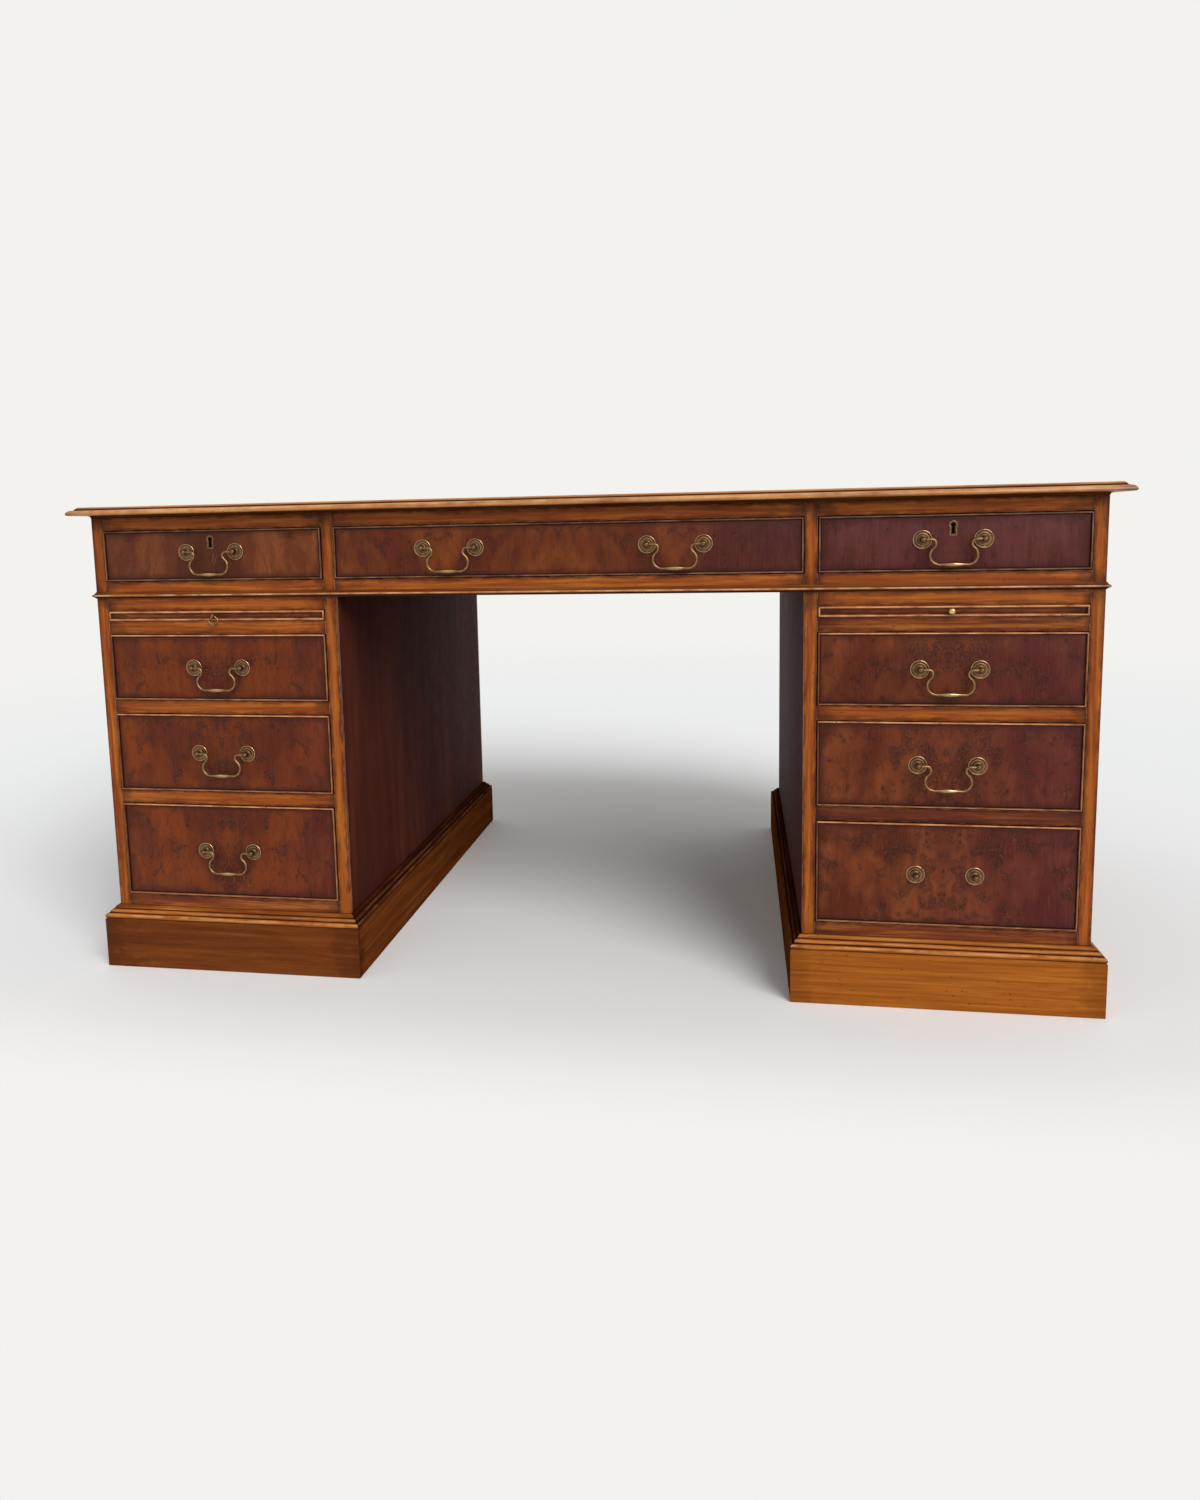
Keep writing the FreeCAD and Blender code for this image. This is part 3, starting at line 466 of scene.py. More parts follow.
@dataclass(frozen=True)
class AgedBrass(Finish):
    """Cast brass, its lacquer rubbed off: tarnished in clouds, bright on crowns from rubbing and as painted
    highlight, brown in hollows from patina and, on undersides, as painted shade.
    """

    bright: str = "#9c7752"
    tarnish: str = "#6b4f36"
    # Rubbed crowns, and the painted highlight on rims and grips.
    rubbed: str = "#cfb17c"
    # Patina in hollows, and the painted shade on undersides and behind heads.
    patina_and_shade: str = "#1d130d"
    tarnish_size: Pair = (6.0, 6.0)
    roughness: float = 0.36

    def shade(self, tree: Tree) -> dict:
        """Tarnish in clouds; patina and painted shade where recess is above 0, rubbed metal and painted
        highlight below.

        Args:
            tree: the material's tree.

        Returns:
            What goes into the shader's sockets, by name.
        """
        recess = carried(tree, "recess")
        cloud = blotches(tree, carried(tree, "grain"), self.tarnish_size, (0.25, 0.75), detail=4.0)
        metal = add(tree, "ValToRGB", {"Fac": cloud}, ((0.0, self.tarnish), (1.0, self.bright)))
        crown = add(tree, "MapRange", {"Value": recess, "From Max": -1.0})
        dull = add(tree, "Math", {0: recess, 1: 0.3, 2: self.roughness}, operation="MULTIPLY_ADD")
        coloured = layered(tree, metal, (crown, self.rubbed), (recess, self.patina_and_shade))
        return {"Base Color": coloured, "Roughness": dull, "Metallic": 1.0}


@dataclass(frozen=True)
class Shadow(Finish):
    """Painted shadow for the unlit inside of a keyhole and of a screw's slot, where nothing is cut: black and
    matt, broken a little by a lighter shade.
    """

    colour: str = "#070505"
    lighter_shade: str = "#120d0a"
    lighter_shade_size: Pair = (1.2, 1.2)
    specular: float = 0.0

    def shade(self, tree: Tree) -> dict:
        """A black that still breaks up a little.

        Args:
            tree: the material's tree.

        Returns:
            What goes into the shader's sockets, by name.
        """
        cloud = blotches(tree, carried(tree, "grain"), self.lighter_shade_size, (0.3, 0.8))
        black = add(tree, "ValToRGB", {"Fac": cloud}, ((0.0, self.colour), (1.0, self.lighter_shade)))
        return {"Base Color": black, "Roughness": 0.9}


@dataclass(frozen=True)
class TooledLeather(Finish):
    """Skiver leather, dyed and waxed, with gilt lines and a running ornament rolled near its edge."""

    dark: str = "#142a1f"
    light: str = "#26452f"
    gilt: str = "#c9a24e"
    dye_cloud: Pair = (80.0, 80.0)
    pebble: float = 1.3
    lines: tuple[float, ...] = (9.0, 12.0, 31.0)
    line_width: float = 0.8
    ornament: float = 21.5
    ornament_pitch: float = 11.0
    lozenge: float = 3.1
    lozenge_line: float = 0.9
    lozenge_slant: float = 0.55
    flake: Pair = (2.0, 2.0)
    roughness: float = 0.42

    def shade(self, tree: Tree) -> dict:
        """Pebbled grain, clouded dye, and gilding by distance from the edge.

        The ornament is a row of lozenges: a point lies on one where its place in the repeat, foreshortened,
        plus its distance from the row's line comes to the lozenge's size.

        Args:
            tree: the material's tree.

        Returns:
            What goes into the shader's sockets, by name.
        """
        place = carried(tree, "grain")
        edge, _ = to_edge_and_end(tree)
        cloud = blotches(tree, place, self.dye_cloud, (0.35, 0.65), detail=4.0)
        dyed = add(tree, "ValToRGB", {"Fac": cloud}, ((0.0, self.dark), (1.0, self.light)))
        x, y, _ = add(tree, "SeparateXYZ", {0: place}).outputs
        total = add(tree, "Math", {0: x, 1: y}, operation="ADD")
        away = add(tree, "Math", {0: edge, 1: self.ornament}, operation="SUBTRACT")
        along = add(tree, "Math", {0: total, 1: away}, operation="SUBTRACT")
        repeat = add(tree, "Math", {0: along, 1: self.ornament_pitch}, operation="PINGPONG")
        lozenge_x = add(tree, "Math", {0: repeat, 1: self.lozenge_slant}, operation="MULTIPLY")
        lozenge_y = add(tree, "Math", {0: away}, operation="ABSOLUTE")
        lozenge = add(tree, "Math", {0: lozenge_x, 1: lozenge_y})
        gilding = add(tree, "Math", {0: lozenge, 1: 1.0}, operation="LESS_THAN")
        drawn = [(lozenge, self.lozenge, self.lozenge_line)]
        drawn += [(edge, line, self.line_width) for line in self.lines]
        for distance, line, width in drawn:
            part = add(tree, "Math", {0: distance, 1: line, 2: width / 2}, operation="COMPARE")
            gilding = add(tree, "Math", {0: gilding, 1: part}, operation="MAXIMUM")
        gilt = product(tree, gilding, blotches(tree, place, self.flake, (0.3, 0.45), detail=3.0))
        pebbles = add(tree, "TexVoronoi", {"Vector": place, "Scale": 1 / self.pebble})
        bump = add(tree, "Bump", {"Height": pebbles, "Strength": 0.35, "Distance": 0.15 * MM})
        return {"Base Color": layered(tree, dyed, (gilt, self.gilt)), "Metallic": product(tree, gilt, 0.9),
                "Normal": bump, "Roughness": self.roughness}


# Yew, planed, stained and polished: the framing shows golden streaks between dark joints.
FRAMING = PlainWood("yew_framing")
BROWN_FRAMING = PlainWood("yew_framing_brown", dark="#5c2511", mid="#88431b", light="#b46e2b",
                          cloud_strength=0.6)
RED_FRAMING = PlainWood("yew_framing_red", dark="#4c1d13", mid="#6f3119", light="#8c4c28", cloud_strength=0.5)
RIGHT_PLINTH = PlainWood("yew_plinth_golden", dark="#8c4b14", mid="#a35c1e", light="#b56c26",
                         streak=(190.0, 6.0), end_reach=60.0, end_strength=0.3, specular=0.05)
LEFT_PLINTH = PlainWood("yew_plinth_brown", dark="#5f2d10", mid="#713a15", light="#83481d",
                        streak=(260.0, 14.0), end_reach=70.0, end_strength=0.4, specular=0.05)
# The plinth boards' kneehole side: a darker, duller copy, as painted shade.
KNEE_PLINTH_SHADED = PlainWood("yew_plinth_kneehole_shaded", dark="#532911", mid="#683617", light="#7b431c",
                        streak=(260.0, 14.0), specular=0.0)
# The same yew, run to a moulding: pale along its crowns, as wear and painted highlight, the top edge's cream
# crowns most of all; dark in its quirks, as soiling and painted shade; and darker and duller in the kneehole,
# as painted shade.
TOP_MOULDING = PlainWood("run_edge_moulding_yew", dark="#8a4a1c", mid="#ba702f", light="#d99650",
                         worn_and_highlight="#f3c78a", wear=0.0, roughness=0.3, specular=0.5)
WAIST_MOULDING = PlainWood("run_waist_moulding_yew", dark="#733615", mid="#a65d27", light="#c27d3c",
                           worn_and_highlight="#e3b48c", wear=0.0)
PLINTH_MOULDING = PlainWood("run_plinth_moulding_yew", dark="#6f3410", mid="#ac6125", light="#d08c44",
                            worn_and_highlight="#dc9d64", wear=0.0, specular=0.05)
KNEE_MOULDING_SHADED = PlainWood("run_kneehole_moulding_shaded", dark="#26100a", mid="#452112", light="#64381f",
                          worn_and_highlight="#7a4a2c", wear=0.0, specular=0.0)
# Cock beads, pale along their crowns, as wear and painted highlight, with soiling and polish beside them. The
# upper bead keeps the palest colour; the lower and right ones take a browner copy and the left one a darker
# copy still, as painted shade.
PALE_BEAD = PlainWood("rubbed_yew_bead", dark="#84401e", mid="#bb6b36", light="#d68d50", worn_and_highlight="#f6b783",
                      wear=0.0, speck=1.0, speck_size=(11.0, 6.0), streak=(45.0, 9.0), cloud=(40.0, 40.0),
                      cloud_strength=0.9, end_reach=18.0, end_strength=0.4)
HALF_SHADED_BEAD = replace(PALE_BEAD, name="half_shaded_yew_bead", dark="#64301a", mid="#8f502b", light="#a86b40",
                     worn_and_highlight="#bd865f")
SHADED_BEAD = replace(PALE_BEAD, name="shaded_yew_bead", dark="#482110", mid="#683a20", light="#7a482a",
                      worn_and_highlight="#875236")
BEAD_SIDES_PAINTED_SHADE = {0: HALF_SHADED_BEAD, 1: HALF_SHADED_BEAD, 3: SHADED_BEAD}
# The frieze's beads kept their stain, and only their crowns are paler, as wear and painted highlight.
DARK_BEAD = PlainWood("stained_yew_bead", dark="#43200f", mid="#643821", light="#7d4f33", worn_and_highlight="#a07455",
                      wear=0.0, speck=0.8, speck_size=(15.0, 7.0), streak=(45.0, 9.0), cloud=(70.0, 60.0),
                      cloud_strength=0.8, end_reach=18.0, end_strength=0.4)
# Plain yew veneer on the pedestal sides, stained dark and darkened further as painted shade for the shadowed
# kneehole sides, grain upright: broad faint streaks, almost no shine.
SIDE_VENEER = PlainWood("yew_side_veneer", dark="#3b1814", mid="#461e16", light="#54281b",
                        streak=(700.0, 80.0), line_strength=0.2, cloud_strength=0.25, edge_reach=9.0,
                        edge_strength=0.5, wear=0.35, speck=0.2, roughness=0.6, specular=0.02)
# Burr yew veneer on the fronts, matched about the middle, stained and polished: amber clouds and dark pips.
# On each front, the side that gets less sun keeps more of its red stain.
LEFT_VENEER = BurrVeneer("burr_veneer_amber", amber="#7d370e", plum="#46171f", gather=0.08, burr_start=0.535)
RIGHT_VENEER = BurrVeneer("burr_veneer_plum_side", amber="#844220", plum="#4d1724", gather=0.13,
                          plum_span=(-0.6, 1.1))
FRIEZE_LEFT = BurrVeneer("frieze_veneer_left", amber="#854822", gather=0.0, burr_start=0.62,
                         plum_span=(0.9, -1.6), plum_amount=0.3, handled=0.62)
FRIEZE_MIDDLE = BurrVeneer("frieze_veneer_middle", amber="#8f4a1c", gather=0.02, burr_start=0.57,
                           plum_span=(0.2, 1.0), plum_amount=0.75)
# Its cooler amber and plum are partly stain and partly a painted reflection of cool light.
FRIEZE_RIGHT = BurrVeneer("frieze_veneer_right", amber="#773c32", plum="#452130", gather=0.0, burr_start=0.6,
                          plum_span=(-3.0, -1.2), plum_amount=0.42)
# Yew cut across the grain for the border and the slides' boards: short streaks, square to the edge.
BANDING = PlainWood("yew_crossbanding", dark="#5b2a12", mid="#8a4b20", light="#a4642c", streak=(90.0, 11.0),
                    edge_reach=3.0, edge_strength=0.3)
# Ramin-pale lining wood, planed and waxed, inside the drawers and cupboards: light, clean and nearly matt.
LINING = PlainWood("waxed_lining_wood", dark="#8a6a43", mid="#ab8758", light="#c4a273", grime_and_shade="#5a4128",
                   worn_and_highlight="#cbb088", edge_reach=3.0, edge_strength=0.25, end_strength=0.25, wear=0.2, speck=0.1,
                   roughness=0.6)
# Bare wood where a key, a ring or a corner has scored the polish: pale and dry.
SCORED = PlainWood("scored_bare_yew", dark="#a9694a", mid="#c98e6c", light="#dba98a", edge_strength=0.0,
                   wear=0.0, roughness=0.6)
# Cast and turned brass, lacquered once: bails bright where fingers pull, and as painted highlight, roses
# browner and dull in their rings, with a painted highlight on each rim, and the slide's knob polished by use.
BRASS = AgedBrass("aged_brass")
ROSE_BRASS = AgedBrass("browned_rose_brass", bright="#8d6a4a", tarnish="#583d2b", rubbed="#cfa882")
POLISHED_BRASS = AgedBrass("finger_polished_brass", bright="#dccb98", tarnish="#b9a069", roughness=0.25)
# Painted shadow in a keyhole and in the slots of screws, which are not cut: black, with no shine at all.
KEYHOLE = Shadow("keyhole_painted_shadow")
# Green skiver on the writing surface: fine pebbles under wax, with gold lines rubbed thin.
LEATHER = TooledLeather("tooled_leather")


# ------------------------------------------------------------------------------------ surfaces
class Grain(Enum):
    """The axis that a board's grain follows."""

    X = 0
    Y = 1
    Z = 2

    def order(self) -> list[int]:
        """The three axes, with the grain's first."""
        return [(self.value + k) % 3 for k in range(3)]


@dataclass
class Shell:
    """A closed surface in mm, with what a finish reads at each point.

    points (n, 3); faces, rows of point numbers; grain (n, 3), places with X along the grain; half, the half
    sizes of the board along the same axes; recess (n,), 1 in a hollow, 0 on the open surface and -1 on a
    crown. Finishes darken the hollows, as soiling and painted shade, and lighten the crowns, as rubbing and
    painted highlight.
    """

    points: np.ndarray
    faces: list
    grain: np.ndarray
    finish: Finish
    half: np.ndarray = field(default_factory=lambda: np.full(3, ENDLESS))
    recess: np.ndarray | None = None

    def placed(self, matrix: np.ndarray, shift: Triple = (0.0, 0.0, 0.0)) -> "Shell":
        """A copy turned by a 3x3 matrix and then moved; a mirror turns its faces over too.

        Args:
            matrix: the turn.
            shift: the move, in mm.

        Returns:
            The copy.
        """
        faces = self.faces
        if np.linalg.det(matrix) < 0:
            faces = [face[::-1] for face in faces]
        return replace(self, points=self.points @ matrix.T + np.array(shift), faces=faces)

    def moved(self, x: float, y: float, z: float) -> "Shell":
        """A copy that is moved."""
        return self.placed(np.eye(3), (x, y, z))


# A shape that lies flat on the origin, facing up, stands up to face the front or the back.
STAND = {-1: np.array([[1.0, 0, 0], [0, 0, -1], [0, 1, 0]]),
         1: np.array([[-1.0, 0, 0], [0, 0, 1], [0, 1, 0]])}


def turn_about_z(quarter: int) -> np.ndarray:
    """A matrix that turns by that many right angles about Z."""
    cos, sin = ((1, 0), (0, 1), (-1, 0), (0, -1))[quarter]
    return np.array([[cos, -sin, 0.0], [sin, cos, 0], [0, 0, 1]])


def grid_faces(rows: int, columns: int, wrap_rows: bool = False, wrap_columns: bool = False) -> np.ndarray:
    """Quads over a grid of points numbered row by row.

    Args:
        rows, columns: points each way.
        wrap_rows, wrap_columns: whether the last joins the first.

    Returns:
        (m, 4) point numbers: along the row first, then to the next row.
    """
    i = np.arange(rows if wrap_rows else rows - 1)[:, None]
    j = np.arange(columns if wrap_columns else columns - 1)[None, :]
    i_next = (i + 1) % rows
    j_next = (j + 1) % columns
    quads = [i * columns + j, i * columns + j_next, i_next * columns + j_next, i_next * columns + j]
    return np.stack(np.broadcast_arrays(*quads), -1).reshape(-1, 4)


def tube_faces(rows: int, columns: int) -> list:
    """The faces of rows of rings, with a cap on the first ring and one on the last."""
    caps = [list(range(columns))[::-1], list(range((rows - 1) * columns, rows * columns))]
    return grid_faces(rows, columns, wrap_columns=True).tolist() + caps


def welded(points: np.ndarray, quads: np.ndarray) -> tuple[np.ndarray, list, np.ndarray]:
    """Join points that coincide, and drop the sides that close up.

    Args:
        points: (n, 3).
        quads: (m, 4) point numbers.

    Returns:
        The joined points, the faces of three or four of them, and each kept point's old number.
    """
    _, first, back = np.unique(np.round(points, 4), axis=0, return_index=True, return_inverse=True)
    quads = back.reshape(-1)[quads]
    same = quads == np.roll(quads, -1, axis=1)
    faces = quads[~same.any(axis=1)].tolist()
    folded = same.sum(axis=1) == 1
    for quad, doubled in zip(quads[folded], same[folded]):
        faces.append(quad[~doubled].tolist())
    return points[first], faces, first


def board(low: tuple, high: tuple, finish: Finish, grain: Grain, easing: float = 0.7) -> Shell:
    """A board with eased arrises.

    Each point of a grid on the box moves to the easing radius from the nearest point of the box's core. The
    grid has lines at both sides, half an easing in and a whole easing in.

    Args:
        low, high: opposite corners.
        finish: what it wears.
        grain: the way its grain runs.
        easing: radius of its arrises.

    Returns:
        The board, closed.
    """
    low, high = np.array(low, float), np.array(high, float)
    half = (high - low) / 2
    radius = min(easing, 0.4 * half.min())
    outward = np.array([-1, -1, -1, 1, 1, 1])
    inward = np.array([0, 0.5, 1, -1, -0.5, 0]) * radius
    count = len(outward)
    points, quads = [], []
    for axis in range(3):
        u, v = (axis + 1) % 3, (axis + 2) % 3
        for side in (-1, 1):
            sheet = np.zeros((count, count, 3))
            sheet[..., axis] = side * half[axis]
            sheet[..., u] = (outward * half[u] + inward)[:, None]
            sheet[..., v] = outward * half[v] + inward
            faces = grid_faces(count, count) + count ** 2 * len(points)
            quads.append(faces[:, ::-1] if side > 0 else faces)
            points.append(sheet.reshape(-1, 3))
    cube = np.concatenate(points)
    core = np.clip(cube, radius - half, half - radius)
    away = cube - core
    rounded = core + away * (radius / np.linalg.norm(away, axis=1, keepdims=True))
    kept, faces, _ = welded(rounded, np.concatenate(quads))
    order = grain.order()
    return Shell(kept + (low + high) / 2, faces, kept[:, order], finish, half[order])


def bowed(start: Pair, end: Pair, bow: float, steps: int = 6) -> np.ndarray:
    """Points along an arc that stands off a straight line by bow, to its left; the first point is left out.

    The arc is taken as a parabola, which a shallow arc equals: the line plus 4 t (1 - t) bow along its
    normal.

    Args:
        start, end: the line's ends.
        bow: how far the arc's middle stands off the line.
        steps: stretches along the arc.

    Returns:
        (steps, 2) points.
    """
    t = np.linspace(0, 1, steps + 1)[1:, None]
    a, b = np.array(start, float), np.array(end, float)
    run = b - a
    normal = np.array([-run[1], run[0]]) / np.linalg.norm(run)
    return a + run * t + normal * (4 * t * (1 - t) * bow)


def arc(centre: Pair, radius: float, start: float, end: float, steps: int = 8) -> np.ndarray:
    """Points on a circle from one angle to another, in degrees, both included."""
    angle = np.radians(np.linspace(start, end, steps + 1))
    return np.array(centre) + radius * np.stack([np.cos(angle), np.sin(angle)], -1)


def spread(values: float | tuple, count: int) -> np.ndarray:
    """One value, or some that are spread evenly and joined by straight lines, at count places."""
    return np.interp(np.linspace(0, 1, count), np.linspace(0, 1, np.size(values)), np.ravel(values))


@dataclass
class Section:
    """The closed outline of a moulding: (inset from the outer line, height), and how deep each point lies."""

    outline: np.ndarray
    recess: np.ndarray

    @classmethod
    def of(cls, *stretches: tuple) -> "Section":
        """Join stretches of points, and turn the outline anticlockwise.

        Args:
            stretches: each a point or some points, with its recess: one number, or some to spread over it.

        Returns:
            The section, its outline closed.
        """
        parts = [(np.atleast_2d(points), deep) for points, deep in stretches]
        outline = np.concatenate([points for points, _ in parts])
        recess = np.concatenate([spread(deep, len(points)) for points, deep in parts])
        following = np.roll(outline, -1, axis=0)
        area = (outline[:, 0] * following[:, 1] - following[:, 0] * outline[:, 1]).sum()
        return cls(outline, recess) if area > 0 else cls(outline[::-1], recess[::-1])


# Recess over a bead's round, from one foot to the other: the feet are darker, as soiling and painted shade,
# and the crown paler, as wear and painted highlight.
FOOT_SHADE_CROWN_HIGHLIGHT = (0.8, 0.2, 0.0, -0.6, -1.0, -0.6, 0.0, 0.2, 0.8)


@dataclass
class Nicks:
    """Knocks along a bead's crown: bell-shaped dips at random places, seeded.

    reach is how far down from its top a bead gives way, and waves are the height and the length over 2 pi
    of its slow unevenness.
    """

    spacing: float = 32.0
    width: float = 2.2
    depth: float = 1.2
    seed: int = 1
    reach: float = 1.5
    waves: tuple[Pair, Pair] = ((0.08, 17.0), (0.05, 6.1))

    def along(self, x: np.ndarray, length: float) -> np.ndarray:
        """Depth of the knocks at each place along a length, plus a slow unevenness.

        Args:
            x: places along the bead, from its middle.
            length: of the bead.

        Returns:
            How much lower the crown lies at each place.
        """
        random = np.random.default_rng(self.seed)
        count = max(1, int(length / self.spacing))
        places = random.uniform(-length / 2, length / 2, count)
        depths = random.uniform(0.2, 1.0, count) * self.depth
        bells = np.exp(-((x[:, None] - places) / self.width) ** 2) * depths
        (slow, slow_length), (quick, quick_length) = self.waves
        wave = slow * np.sin(x / slow_length + self.seed)
        return bells.max(axis=1) + wave + quick * np.sin(x / quick_length)


def mitred_length(section: Section, run: float, across: float, finish: Finish, step: float,
                  nicks: Nicks | None = None) -> Shell:
    """The -Y length of a mitred frame that is centred on the origin.

    A point is x = s (run / 2 - inset), y = inset - across / 2, z = height, for s from -1 to 1 along the
    length and the section's points across it.

    Args:
        section: its outline.
        run, across: outer length and outer width of the whole frame.
        finish: what it wears.
        step: spacing of the stations along it.
        nicks: knocks that lower its crown.

    Returns:
        The length, closed at both mitres.
    """
    s = np.linspace(-1, 1, max(2, int(run / step) + 1))
    inset, height = section.outline.T
    x = s[:, None] * (run / 2 - inset)
    y = np.broadcast_to(inset - across / 2, x.shape)
    z = np.broadcast_to(height, x.shape).copy()
    if nicks:
        share = np.clip((height - height.max() + nicks.reach) / nicks.reach, 0, 1)
        z -= nicks.along(s * run / 2, run)[:, None] * share
    points = np.stack([x, y, z], -1).reshape(-1, 3)
    around = np.concatenate([[0], np.cumsum(np.linalg.norm(np.diff(section.outline, axis=0), axis=1))])
    grain = np.stack([x, np.broadcast_to(around, x.shape), np.zeros(x.shape)], -1).reshape(-1, 3)
    recess = np.broadcast_to(section.recess, x.shape).reshape(-1)
    return Shell(points, tube_faces(*x.shape), grain, finish, np.array([run / 2, ENDLESS, ENDLESS]), recess)


def mitred_frame(section: Section, length: float, depth: float, finish: Finish, step: float = 12.0,
                 nicks: Nicks | None = None, odd: dict[int, Finish] | None = None) -> list[Shell]:
    """Four mitred lengths round a rectangle, lying flat and centred on the origin.

    They are numbered from 0, the -Y one, anticlockwise.

    Args:
        section: outline of each length.
        length, depth: outer size of the frame.
        finish: what the lengths wear.
        step: spacing of the stations along them.
        nicks: knocks on the first; the others take the seeds that follow.
        odd: the finish of any that differs, by its number.

    Returns:
        The four, in order.
    """
    sides = []
    for quarter in range(4):
        run, across = (length, depth) if quarter % 2 == 0 else (depth, length)
        own = replace(nicks, seed=nicks.seed + quarter) if nicks else None
        side = mitred_length(section, run, across, (odd or {}).get(quarter, finish), step, own)
        sides.append(side.placed(turn_about_z(quarter)))
    return sides


def turned(profile: np.ndarray, finish: Finish, recess: np.ndarray, sides: int = 40) -> Shell:
    """A piece turned about Z: a point is (r cos a, r sin a, h) for the profile's (r, h) and a full turn of a.

    Args:
        profile: (k, 2) radius and height, from the axis below, up the outside, to the axis on top.
        finish: what it wears.
        recess: (k,) how deep each ring lies.
        sides: points in a ring.

    Returns:
        The piece, its axis on Z.
    """
    angle = np.linspace(0, 2 * np.pi, sides, endpoint=False)
    radius, height = profile[:, 0][:, None], profile[:, 1][:, None]
    points = np.stack([radius * np.cos(angle), radius * np.sin(angle),
                       np.broadcast_to(height, (len(profile), sides))], -1).reshape(-1, 3)
    kept, faces, old = welded(points, grid_faces(len(profile), sides, wrap_columns=True))
    return Shell(kept, faces, kept.copy(), finish, recess=np.repeat(recess, sides)[old])


def wire(path: np.ndarray, radius: np.ndarray, across: tuple, finish: Finish, closed: bool = False,
         sides: int = 14, rubbed: tuple = (0.0, -0.55, 0.83), worn_and_highlight: np.ndarray | float = 0.1) -> Shell:
    """A rod along a path in a plane: a ring round each point, square to the path.

    Its side away from the given direction is darker, as painted shade, and the side towards it is paler by
    some amount, as rubbing and painted highlight.

    Args:
        path: (n, 3) centre line.
        radius: (n,) of the rod at each point.
        across: the normal of the path's plane.
        finish: what it wears.
        closed: whether the end joins the start.
        sides: points in a ring.
        rubbed: the direction that the painted light and the rubbing come from.
        worn_and_highlight: how far each point of the path is paler, from rubbing and as painted highlight.

    Returns:
        The rod, closed.
    """
    if closed:
        along = np.roll(path, -1, axis=0) - np.roll(path, 1, axis=0)
    else:
        along = np.gradient(path, axis=0)
    along /= np.linalg.norm(along, axis=1, keepdims=True)
    normal = np.array(across, float)
    side = np.cross(along, normal)
    angle = np.linspace(0, 2 * np.pi, sides, endpoint=False)[:, None]
    ring = np.cos(angle) * normal + np.sin(angle) * side[:, None, :]
    points = (path[:, None, :] + radius[:, None, None] * ring).reshape(-1, 3)
    rows = len(path)
    faces = grid_faces(rows, sides, True, True).tolist() if closed else tube_faces(rows, sides)
    # Painted shade on the far side, painted highlight and rubbing on the near side.
    towards = ring @ np.array(rubbed)
    bright = np.broadcast_to(worn_and_highlight, rows)[:, None]
    depth = np.where(towards < 0, -0.75 * towards, -towards * bright)
    return Shell(points, faces, points.copy(), finish, recess=depth.reshape(-1))


# ------------------------------------------------------------------------------------ pieces
@dataclass
class Piece:
    """Shells that make one object, which rides on the body of its CAD node and stands for that node."""

    name: str
    node: str
    slot: str
    shells: list[Shell]
    smooth_angle: float = 32.0

    def build(self, frame: dict) -> None:
        """Join the shells into one mesh, with their attributes and finishes, and hand it to the frame.
        """
        starts = np.cumsum([0] + [len(shell.points) for shell in self.shells])
        points = np.concatenate([shell.points for shell in self.shells]) * MM
        faces = [[int(p) + int(start) for p in face] for shell, start in zip(self.shells, starts)
                 for face in shell.faces]
        mesh = bpy.data.meshes.new(self.name)
        mesh.from_pydata(points.tolist(), [], faces)
        self.write_attributes(mesh)
        finishes = list(dict.fromkeys(shell.finish for shell in self.shells))
        for finish in finishes:
            mesh.materials.append(finish.material())
        numbers = np.repeat([finishes.index(shell.finish) for shell in self.shells],
                            [len(shell.faces) for shell in self.shells])
        mesh.polygons.foreach_set("material_index", numbers.astype(np.int32))
        mesh.polygons.foreach_set("use_smooth", np.ones(len(mesh.polygons), bool))
        mesh.set_sharp_from_angle(angle=math.radians(self.smooth_angle))
        mesh.update()
        made = bpy.data.objects.new(self.name, mesh)
        bpy.context.scene.collection.objects.link(made)
        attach(made, frame["nodes"][self.node]["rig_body"])
        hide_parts(self.node)
        LOG.info("%s: %d points, %d faces", self.name, len(points), len(faces))

    def write_attributes(self, mesh: bpy.types.Mesh) -> None:
        """Write grain, half, seed and recess, which the finishes read.

        Args:
            mesh: the piece's mesh.
        """
        counts = [len(shell.points) for shell in self.shells]
        number = int.from_bytes(self.name.encode(), "big") % SEEDS
        seeds = np.random.default_rng(number).uniform(0, 1, len(self.shells))
        recess = [np.zeros(count) if shell.recess is None else shell.recess
                  for shell, count in zip(self.shells, counts)]
        grain = np.concatenate([shell.grain for shell in self.shells])
        half = np.repeat([shell.half for shell in self.shells], counts, axis=0)
        for name, kind, key, values in (("grain", "FLOAT_VECTOR", "vector", grain),
                                        ("half", "FLOAT_VECTOR", "vector", half),
                                        ("seed", "FLOAT", "value", np.repeat(seeds, counts)),
                                        ("recess", "FLOAT", "value", np.concatenate(recess))):
            carrier = mesh.attributes.new(name, kind, "POINT")
            carrier.data.foreach_set(key, values.astype(np.float32).ravel())


@dataclass(frozen=True)
class Box:
    """Where a CAD node lies: two opposite corners, in mm."""

    low: np.ndarray
    high: np.ndarray

    @classmethod
    def of(cls, node: str) -> "Box":
        """The box of a node at rest."""
        low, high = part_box(node)
        return cls(np.array(low) / MM, np.array(high) / MM)

    def middle(self) -> np.ndarray:
        """Its centre."""
        return (self.low + self.high) / 2

    def size(self) -> np.ndarray:
        """Its length, depth and height."""
        return self.high - self.low


